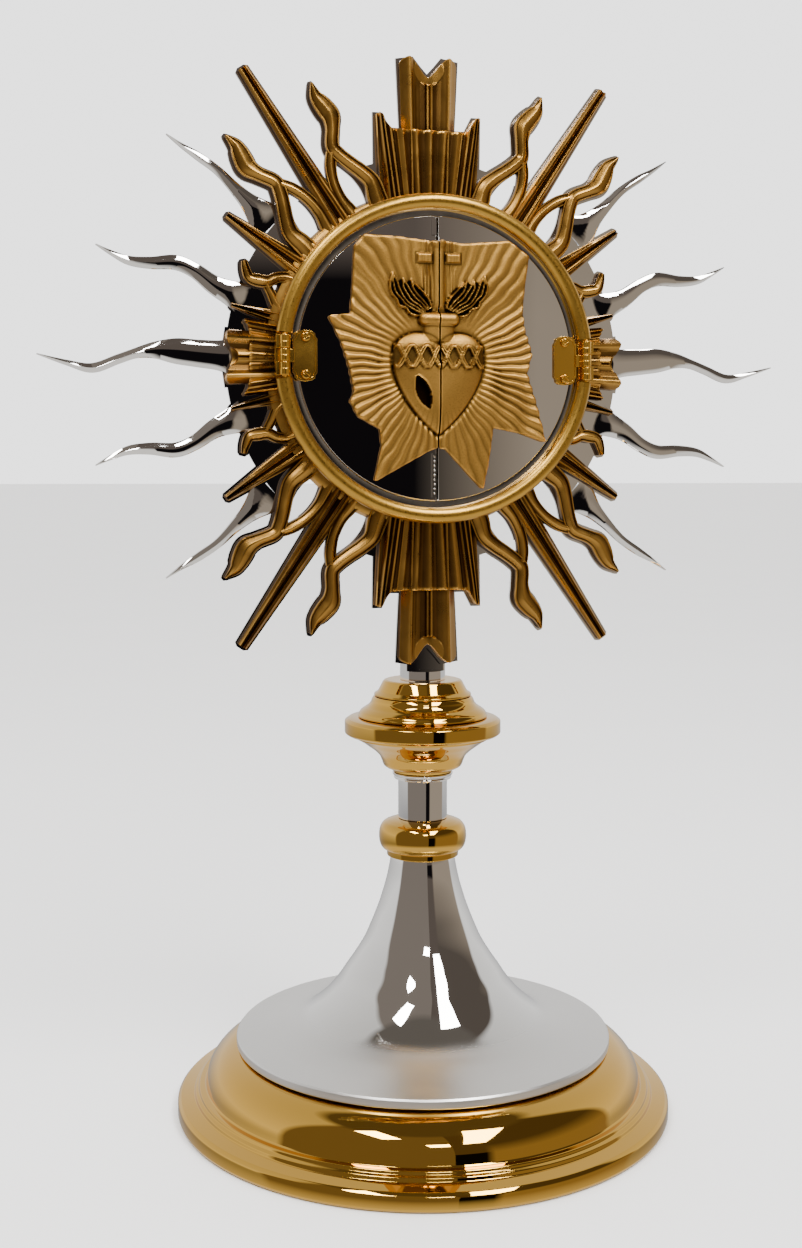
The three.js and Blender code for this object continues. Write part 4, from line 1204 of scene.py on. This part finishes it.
WING = ((3.4, 23.6), (3.6, 27.4), (6, 31.2), (9.2, 34.6), (14.6, 38.6), (16.4, 36.6), (18.6, 39),
        (20.8, 37.6), (24.2, 41.8), (25.6, 36.2), (24.7, 31.6), (21.9, 28.2), (20.7, 25.4),
        (17.2, 24.2), (15.4, 21.4), (11, 20.3), (6.6, 20.2))
WING_LINES = (
    ((4, 25), (5, 28.4), (7.4, 31.6), (10.4, 34.6), (14.4, 38.2)),
    ((5, 24.4), (7.4, 27.6), (10.2, 30.4), (13, 33.8), (14.4, 38.2)),
    ((6, 23.8), (9.2, 27.2), (12.2, 29.6), (14.8, 33), (16.6, 36), (18.4, 38.6)),
    ((7.2, 23.2), (10.6, 26.2), (14.2, 28.4), (16.6, 31.8), (18.4, 35), (18.4, 38.6)),
    ((8.2, 22.6), (12, 25.2), (15.8, 27.2), (18.6, 30.6), (20.6, 34.6), (21.8, 38), (24, 41.4)),
    ((9, 22), (13.2, 24), (17, 26.2), (19.4, 29), (22.2, 32.2), (23.4, 36.6), (24, 41.4)),
    ((8, 21), (11.6, 20.9), (15, 22), (17, 24.6), (20.4, 25.8), (21.6, 28.6), (24.4, 32), (25.1, 36.4),
     (24, 41.4)),
)


def wing_height(p, height, patina_and_painted_shade):
    """A flame of bright wavy lines over a hollow filled and edged with painted shade, rising beside the
    cross.
    """
    within = inside(p, WING)
    height = np.where(within, 1.1, height)
    # painted shade fills the hollow and lines its edge
    patina_and_painted_shade = np.where(within, 1.0, patina_and_painted_shade)
    patina_and_painted_shade = np.maximum(patina_and_painted_shade, 0.6 * np.exp(-(distance_to(p, WING, True) / 0.5)**2))
    near = np.linalg.norm(p - (14.5, 31), axis=1) < 16
    for line in WING_LINES:
        distance = np.full(len(p), 9.0)
        distance[near] = distance_to(p[near], curve(line, 5))
        crest = dome(distance, 0.62)
        height = np.maximum(height, np.where(crest > 0, 1.9 + 1.6 * crest, 0))
        patina_and_painted_shade = np.where(crest > 0.3, 0.0, patina_and_painted_shade)
    return height, patina_and_painted_shade


def heart_height(x, y, height, patina_and_painted_shade):
    p = np.column_stack([x, y])
    edge = distance_to(p, HEART)
    depth = np.where(inside(p, [*HEART, (0, -39), (-30, -39), (-30, 8)]), edge, -edge)
    within = depth > 0
    body = 1.4 + 4.6 * np.sqrt(1 - (1 - np.clip(depth, 0, 15) / 15)**2)
    height = np.where(within, body, height - 0.7 * np.exp(-(depth / 1.1)**2))
    # painted shade: a dark line round the heart's edge
    patina_and_painted_shade = np.maximum(patina_and_painted_shade, 0.7 * np.exp(-(depth / 0.55)**2))
    return height, patina_and_painted_shade, within


def crown_height(x, y, height, patina_and_painted_shade, within):
    """Two twined stems that cross in diamonds round the heart."""
    band = (np.abs(y - CROWN_MIDDLE) < CROWN_SWING + 1.3) & (x < 24.2)
    # painted shade: the band's middle sinks and darkens between the stems
    middle = np.exp(-((y - CROWN_MIDDLE) / 4.6)**4) * within
    height = height - 0.4 * middle
    patina_and_painted_shade = np.maximum(patina_and_painted_shade, 0.66 * middle)
    surface = height.copy()
    for shift in (0.0, math.pi):
        for offset in (0.0, 1.25):
            phase = 2 * math.pi * (x + offset) / CROWN_PITCH + shift
            slope = CROWN_SWING * 2 * math.pi / CROWN_PITCH * np.sin(phase)
            line = np.abs(y - CROWN_MIDDLE - CROWN_SWING * np.cos(phase)) / np.sqrt(1 + slope**2)
            crest = np.where(x < 23.4, dome(line, 0.64), 0)
            height = np.maximum(height, np.where(crest > 0, surface + 2.0 * crest, 0))
            # painted shade beside each stem, none on its crest
            patina_and_painted_shade = np.where(crest > 0.3, 0.0,
                              np.maximum(patina_and_painted_shade, 0.75 * np.exp(-(line / 0.9)**2) * band))
    return height, patina_and_painted_shade


def relief_height(points, side):
    """Height and the patina and painted shade of one door's relief. x runs out from the slit on both
    doors.
    """
    x, y = np.abs(points[:, 0]), points[:, 1]
    p = np.column_stack([x, y])
    height, patina_and_painted_shade = aureole_height(x, y, side)
    beam = dome(np.maximum(x - 0.6, 0), 2.4) * ease(y, 24, 27) * ease(-y, -60, -58.6)
    height = np.where(beam > 0, np.maximum(height, 1.9 + 1.3 * beam), height)
    height = np.maximum(height, 1.6 + 2.3 * dome(np.hypot(x, y - 57.8), 3.9))
    bar = np.maximum(np.abs(x - 7.4) - 3.4, np.abs(y - 49.8) - 1.7)
    height = np.maximum(height, np.where(bar < 0.9, 1.7 + 1.9 * ease(-bar, -0.9, 0.1), 0))
    # painted shade: a dark line round the foot of the bar
    patina_and_painted_shade = np.maximum(patina_and_painted_shade, 0.8 * np.exp(-((bar - 1.1) / 0.4)**2))
    height, patina_and_painted_shade = wing_height(p, height, patina_and_painted_shade)
    height, patina_and_painted_shade, within = heart_height(x, y, height, patina_and_painted_shade)
    height, patina_and_painted_shade = crown_height(x, y, height, patina_and_painted_shade, within)
    neck = dome(np.maximum(x - 2.5, 0), 5.4) * ease(y, 6, 9) * ease(-y, -18.5, -16.5)
    height = np.where(neck > 0, np.maximum(height, 2.2 + 2.4 * neck), height)
    cap = distance_to(p, [(0, 19.2), (7.2, 19.2)])
    height = np.maximum(height, np.where(cap < 3.4, 2.2 + 3.6 * dome(cap, 3.4), 0))
    # painted shade: a dark ring round the foot of the cap, none on the cap
    patina_and_painted_shade = np.where(cap < 3.2, 0.0, np.maximum(patina_and_painted_shade, 0.8 * np.exp(-((cap - 3.6) / 0.4)**2)))
    if side < 0:
        height, patina_and_painted_shade = wound_height(p, height, patina_and_painted_shade)
    return height, patina_and_painted_shade


def wound_height(p, height, patina_and_painted_shade):
    """An almond-shaped opening low on the heart's left side."""
    start, end = np.array((12.2, -9.0)), np.array((5.2, -25.2))
    axis = (end - start) / np.linalg.norm(end - start)
    along = (p - start) @ axis / np.linalg.norm(end - start)
    aside = (p - start) @ np.array((-axis[1], axis[0]))
    width = 3.3 * np.sin(np.pi * np.clip(along, 0, 1))**0.8
    gap = np.abs(aside) - width
    within = (along > 0) & (along < 1) & (gap < 0)
    height = height + np.where((along > 0) & (along < 1), 0.45 * np.exp(-((gap - 0.5) / 0.45)**2), 0)
    # painted shade fills the opening
    return np.where(within, np.minimum(height, 2.0), height), np.where(within, 1.0, patina_and_painted_shade)


def relief_shell(side):
    """The relief's closed shell, with the patina and painted shade of each point."""
    outline = softened([(x, y) for x, y in AUREOLE[side]], 1.2, 5)
    outline = np.vstack([np.linspace(a, b, max(2, int(np.linalg.norm(b - a) / 0.8)), endpoint=False)
                         for a, b in zip(outline, np.roll(outline, -1, axis=0))])
    step = sizes().relief_grid / MM
    low, high = outline.min(0), outline.max(0)
    xs, ys = np.meshgrid(np.arange(low[0], high[0], step), np.arange(low[1], high[1], step))
    grid = np.column_stack([xs.ravel(), ys.ravel()])
    grid = grid[inside(grid, outline)]
    grid = grid[distance_to(grid, outline, True) > 0.55 * step]
    points = [tuple(p) for p in np.vstack([outline, grid])]
    flat, cells = cells_over(points, [list(range(len(outline)))], 1e-5, [outline])
    height, patina_and_painted_shade = relief_height(flat, side)
    rim = distance_to(flat, outline, True)
    on_slit = flat[:, 0] < SLIT + 0.6
    height = np.where(on_slit, height, height - 0.5 * (1 - ease(rim, 0, 0.9)))
    height = np.clip(height, 0.5, RELIEF_FRONT - RELIEF_BACK)
    n = len(flat)
    front = np.column_stack([side * flat[:, 0], flat[:, 1], RELIEF_BACK + height])
    rear = np.column_stack([side * flat[:, 0], flat[:, 1], np.full(n, RELIEF_BACK)])
    return np.vstack([front, rear]), closed_cells(cells, n), np.concatenate([patina_and_painted_shade, np.zeros(n)])


def door_shell(side):
    slit = math.degrees(math.acos(SLIT / DOOR_RADIUS))
    edge = arc(DOOR_RADIUS, -slit, slit, 120)
    return prism(mirrored(edge, side, 1), DOOR_BACK, DOOR_FRONT)


def bead_strip():
    """The narrow strip on the left door's edge, with its row of small beads."""
    shells = []
    for low, high in ((-69.4, -47.5), (61.5, 69.4)):
        strip = rectangle(-2.9, -SLIT - 0.3, low, high)
        shells.append(prism(strip, RELIEF_BACK, RELIEF_BACK + 0.8))
    bead = [(0, 0.6), (0.55, 0.6, 0.1), (0.5, 0.95, 0.2), (0.3, 1.25, 0.2), (0, 1.35)]
    for v in np.arange(-67.5, -49, 2.3):
        shells.append(shifted(spun(bead, facets=12), -1.8, v, RELIEF_BACK))
    return shells


class MONSTRANCE_OT_doors(bpy.types.Operator):
    """Cuts the two mirror doors and models the relief on them"""
    bl_idname = "monstrance.doors"
    bl_label = "Doors and relief"

    def execute(self, context):
        for side, label, body in DOORS:
            head_piece(label + "_door_mirror", [door_shell(side)], "door_silver",
                       [label + "_door_panel"], body,
                  bevel=0.3)
            head_piece(label + "_door_relief", [relief_shell(side)], "grained_gold",
                       [label + "_relief"], body,
                  sharp=70)
        head_piece("beaded_strip", bead_strip(), "door_silver", ["closing_bead"], LEFT_DOOR)
        return {"FINISHED"}


# ---- the hinges ---------------------------------------------------------------------------------
BARREL_GAP, BARREL_START, BARREL_END = 3, 3.4, 9.8  # the door leaf's half barrel, then the frame's
FRAME_BARRELS = ((BARREL_START, BARREL_END), (-BARREL_END, -BARREL_START))
LEAF_INNER, LEAF_OUTER, LEAF_HALF = 61.5, 73.6, 12.5  # across the door, and half the height


def knuckle(side, low, high, radius=2.5):
    """A rolled barrel on the hinge's axis."""
    profile = [(0, low), (radius, low, 0.45), (radius, (low + high) / 2 - 0.15, 0),
               (radius - 0.2, (low + high) / 2, 0), (radius, (low + high) / 2 + 0.15, 0),
               (radius, high, 0.45), (0, high)]
    return shifted(spun(profile, facets=40), side * HINGE_X, -HINGE_DEPTH, HEAD)


def leaf_outline(side, inset=0.0):
    """The door leaf: a plate with scalloped shoulders and rounded ends."""
    a, b, c = LEAF_INNER + inset, LEAF_OUTER - inset, LEAF_HALF - inset
    middle = (a + b) / 2
    top = [(b, c - 4.2), (b - 0.9, c - 3.0), (b - 1.1, c - 1.6), (b - 2.6, c - 0.5), (middle, c),
           (a + 2.6, c - 0.5), (a + 1.1, c - 1.6), (a + 0.9, c - 3.0), (a, c - 4.2)]
    outline = [*top, *[(x, -y) for x, y in reversed(top)]]
    return mirrored(outline, side, 1)


class MONSTRANCE_OT_hinges(bpy.types.Operator):
    """Builds both hinges: leaves, knuckles, pins and slotted screws"""
    bl_idname = "monstrance.hinges"
    bl_label = "Hinges"

    def execute(self, context):
        for side, label, body in DOORS:
            self.frame_leaf(side, label)
            self.door_leaf(side, label, body)
            self.pin(side, label)
            for level, turn in (("upper", 25), ("lower", -40)):
                self.screw(f"{label}_hinge_screw_{level}", body, turn)
        return {"FINISHED"}

    def frame_leaf(self, side, label):
        floor = depths(f"{label}_hinge_frame_leaf")[0]
        inner, outer = HINGE_X - 3.4, HINGE_X + 4.2
        shells = [knuckle(side, low, high) for low, high in FRAME_BARRELS]
        plate = rectangle(inner, outer, -BARREL_END, BARREL_END)
        shells.append(in_head(prism(mirrored(plate, side, 1), floor, floor + 1)))
        for low, high in FRAME_BARRELS:
            web = rectangle(HINGE_X, outer, low, high)
            shells.append(in_head(prism(mirrored(web, side, 1), floor + 0.5, HINGE_DEPTH - 0.6)))
        piece(label + "_frame_leaf", shells, "hinge_gold", [label + "_hinge_frame_leaf"], bevel=0.25)

    def door_leaf(self, side, label, body):
        back = DOOR_FRONT + 0.3
        base = prism(leaf_outline(side), back, back + 0.9)
        rim_outer, rim_inner = leaf_outline(side), leaf_outline(side, 0.9)
        n = len(rim_outer)
        rim_points = [(x, y, w) for w in (back + 0.85, back + 1.3) for x, y in [*rim_outer, *rim_inner]]
        rim_faces = []
        for i in range(n):
            j = (i + 1) % n
            rim_faces += [(i, j, n + j, n + i), (2 * n + i, 3 * n + i, 3 * n + j, 2 * n + j),
                          (i, 2 * n + i, 2 * n + j, j), (n + i, n + j, 3 * n + j, 3 * n + i)]
        strap = rectangle(73.0, HINGE_X - 0.4, -BARREL_GAP, BARREL_GAP)
        shells = [in_head(base), in_head((rim_points, rim_faces)),
                  knuckle(side, -BARREL_GAP, BARREL_GAP),
                  in_head(prism(mirrored(strap, side, 1), 28.5, 29.6))]
        piece(label + "_door_leaf", shells, "hinge_gold", [label + "_hinge_door_leaf"], body, bevel=0.15)

    def pin(self, side, label):
        end = heights(f"{label}_hinge_pin")[1] - HEAD
        shape = [(0, -end), (0.9, -end), (1.5, -end + 0.3, 0.3), (1.5, -9.9), (1.05, -9.9),
                 (1.05, 9.9), (1.5, 9.9), (1.5, end - 0.3, 0.3), (0.9, end), (0, end)]
        shell = shifted(spun(shape, facets=32), side * HINGE_X, -HINGE_DEPTH, HEAD)
        piece(label + "_pin", [shell], "hinge_gold", [label + "_hinge_pin"])

    def screw(self, node, body, turn):
        u, v = centre_of(node)
        back, front = depths(node)
        shells = slotted_head(2.1, front - 1.3, 1.3) + [shank(0.95, back, front - 1.2)]
        turned = [(turned_by(np.array(p, float), turn), f) for p, f in shells]
        head_piece(node + "_turned", [shifted(s, u, v) for s in turned], "hinge_gold", [node], body,
                   bevel=0.18)


# ---- the stage ----------------------------------------------------------------------------------
CEILING = 2.1  # metres above the table


def panel_light(name, place, width, height, power):
    """A rectangular panel that shines straight down."""
    data = bpy.data.lights.new(name, "AREA")
    data.shape = "RECTANGLE"
    data.size, data.size_y = width, height
    data.energy = power
    placed(name, data).location = place


class MONSTRANCE_OT_stage(bpy.types.Operator):
    """Sets the floor, the soft room, the lights and the camera"""
    bl_idname = "monstrance.stage"
    bl_label = "Stage"

    def execute(self, context):
        self.floor()
        self.room()
        panel_light("ceiling_panel_near", (0.62, -1.75, CEILING), 0.62, 2.0, 75)
        panel_light("ceiling_panel_left", (-1.0, -0.95, CEILING), 0.4, 0.9, 28)
        panel_light("ceiling_panel_far", (-0.35, -2.9, CEILING), 0.6, 0.7, 30)
        self.overhead()
        self.camera()
        return {"FINISHED"}

    def overhead(self):
        """An even, very soft light from above that only the floor and other dull surfaces answer."""
        data = bpy.data.lights.new("overhead", "SUN")
        data.energy = 5.0
        data.angle = math.radians(80)
        placed("overhead", data).visible_glossy = False

    def floor(self):
        mesh = bpy.data.meshes.new("floor")
        reach = 60.0
        mesh.from_pydata([(-reach, -reach, 0), (reach, -reach, 0), (reach, reach, 0),
                          (-reach, reach, 0)], [],
                         [(0, 1, 2, 3)])
        mesh.materials.append(finish_of("floor"))
        floor = placed("floor", mesh)
        floor.visible_glossy = False

    def room(self):
        """A pale wall behind the object, a dim warm room in front of it, and a pale backdrop."""
        world = bpy.data.worlds.new("room")
        bpy.context.scene.world = world
        world.use_nodes = True
        tree = world.node_tree
        background = tree.nodes["Background"]
        split = tree.nodes.new("ShaderNodeSeparateXYZ")
        tree.links.new(tree.nodes.new("ShaderNodeTexCoord").outputs["Generated"], split.inputs[0])
        x, y, z = split.outputs
        turn = tree.nodes.new("ShaderNodeMath")
        turn.operation = "ARCTAN2"
        tree.links.new(x, turn.inputs[0])
        tree.links.new(y, turn.inputs[1])
        behind = spread(tree, y, 0, 1, -0.04, 0.04)
        rise = spread(tree, z, 0, 1, -0.3, 0.12)
        near_wall = blended(tree, rise, (0.42, 0.42, 0.43), (1.15, 1.15, 1.15))
        wall = blended(tree, spread(tree, z, 0, 1, 0.1, 0.9), near_wall, (0.75, 0.74, 0.72))
        # seen from the object, the front right is a pale wall and the front left is a dark doorway
        right = spread(tree, turn.outputs[0], 1, 0, math.radians(160), math.radians(164.5))
        left = spread(tree, turn.outputs[0], 1, 0, -0.1, 0.1)
        low = spread(tree, z, 0, 1, 0.125, 0.15)
        beige = blended(tree, spread(tree, z, 0, 1, 0.1, 0.5), (0.36, 0.30, 0.235), (0.10, 0.083, 0.07))
        doorway = blended(tree, low, (0.006, 0.005, 0.006), (0.115, 0.093, 0.08))
        facing = blended(tree, right, doorway, beige)
        front = blended(tree, left, facing, (0.22, 0.19, 0.165))
        around = blended(tree, behind, front, wall)
        ceiling = spread(tree, z, 0, 1, 0.86, 0.9)
        covered = blended(tree, ceiling, around, (0.13, 0.115, 0.10))
        table = spread(tree, z, 1, 0, -0.5, -0.36)
        tree.links.new(blended(tree, table, covered, (1.0, 0.97, 0.93)), background.inputs["Color"])
        seen = tree.nodes.new("ShaderNodeBackground")
        seen.inputs["Color"].default_value = (1, 1, 1, 1)
        seen.inputs["Strength"].default_value = 2.5
        mix = tree.nodes.new("ShaderNodeMixShader")
        tree.links.new(tree.nodes.new("ShaderNodeLightPath").outputs["Is Camera Ray"], mix.inputs[0])
        tree.links.new(background.outputs[0], mix.inputs[1])
        tree.links.new(seen.outputs[0], mix.inputs[2])
        tree.links.new(mix.outputs[0], tree.nodes["World Output"].inputs["Surface"])

    def camera(self):
        """Level, turned 15 degrees to the object's left, with its horizon above the middle."""
        turn = math.radians(15)
        data = bpy.data.cameras.new("camera")
        data.lens = 44.86
        data.sensor_width = 36
        data.shift_y = -0.119
        camera = placed("camera", data)
        camera.location = (-0.2186, -0.7728, 0.3225)
        camera.rotation_euler = (math.pi / 2, 0, -turn)
        bpy.context.scene.camera = camera


BUILD_ORDER = (MONSTRANCE_OT_foot, MONSTRANCE_OT_stem, MONSTRANCE_OT_sunburst, MONSTRANCE_OT_case,
               MONSTRANCE_OT_luna, MONSTRANCE_OT_doors, MONSTRANCE_OT_hinges, MONSTRANCE_OT_stage)


class MONSTRANCE_PT_panel(bpy.types.Panel):
    """Lists the pieces in the order that they are built"""
    bl_idname = "MONSTRANCE_PT_panel"
    bl_label = "Monstrance"
    bl_space_type = "VIEW_3D"
    bl_region_type = "UI"
    bl_category = "Monstrance"

    def draw(self, context):
        for group in (context.scene.monstrance_sizes, context.scene.monstrance_finishes):
            box = self.layout.box()
            for name in group.__annotations__:
                box.prop(group, name)
        for operator in BUILD_ORDER:
            self.layout.operator(operator.bl_idname)


CLASSES = (MonstranceSizes, MonstranceFinishes, *BUILD_ORDER, MONSTRANCE_PT_panel)


def register():
    for cls in CLASSES:
        bpy.utils.register_class(cls)
    bpy.types.Scene.monstrance_sizes = bpy.props.PointerProperty(type=MonstranceSizes)
    bpy.types.Scene.monstrance_finishes = bpy.props.PointerProperty(type=MonstranceFinishes)


def unregister():
    del bpy.types.Scene.monstrance_finishes
    del bpy.types.Scene.monstrance_sizes
    for cls in reversed(CLASSES):
        bpy.utils.unregister_class(cls)


def main():
    register()
    for operator in BUILD_ORDER:
        getattr(bpy.ops.monstrance, operator.bl_idname.split(".")[1])()


if __name__ == "__main__":
    main()
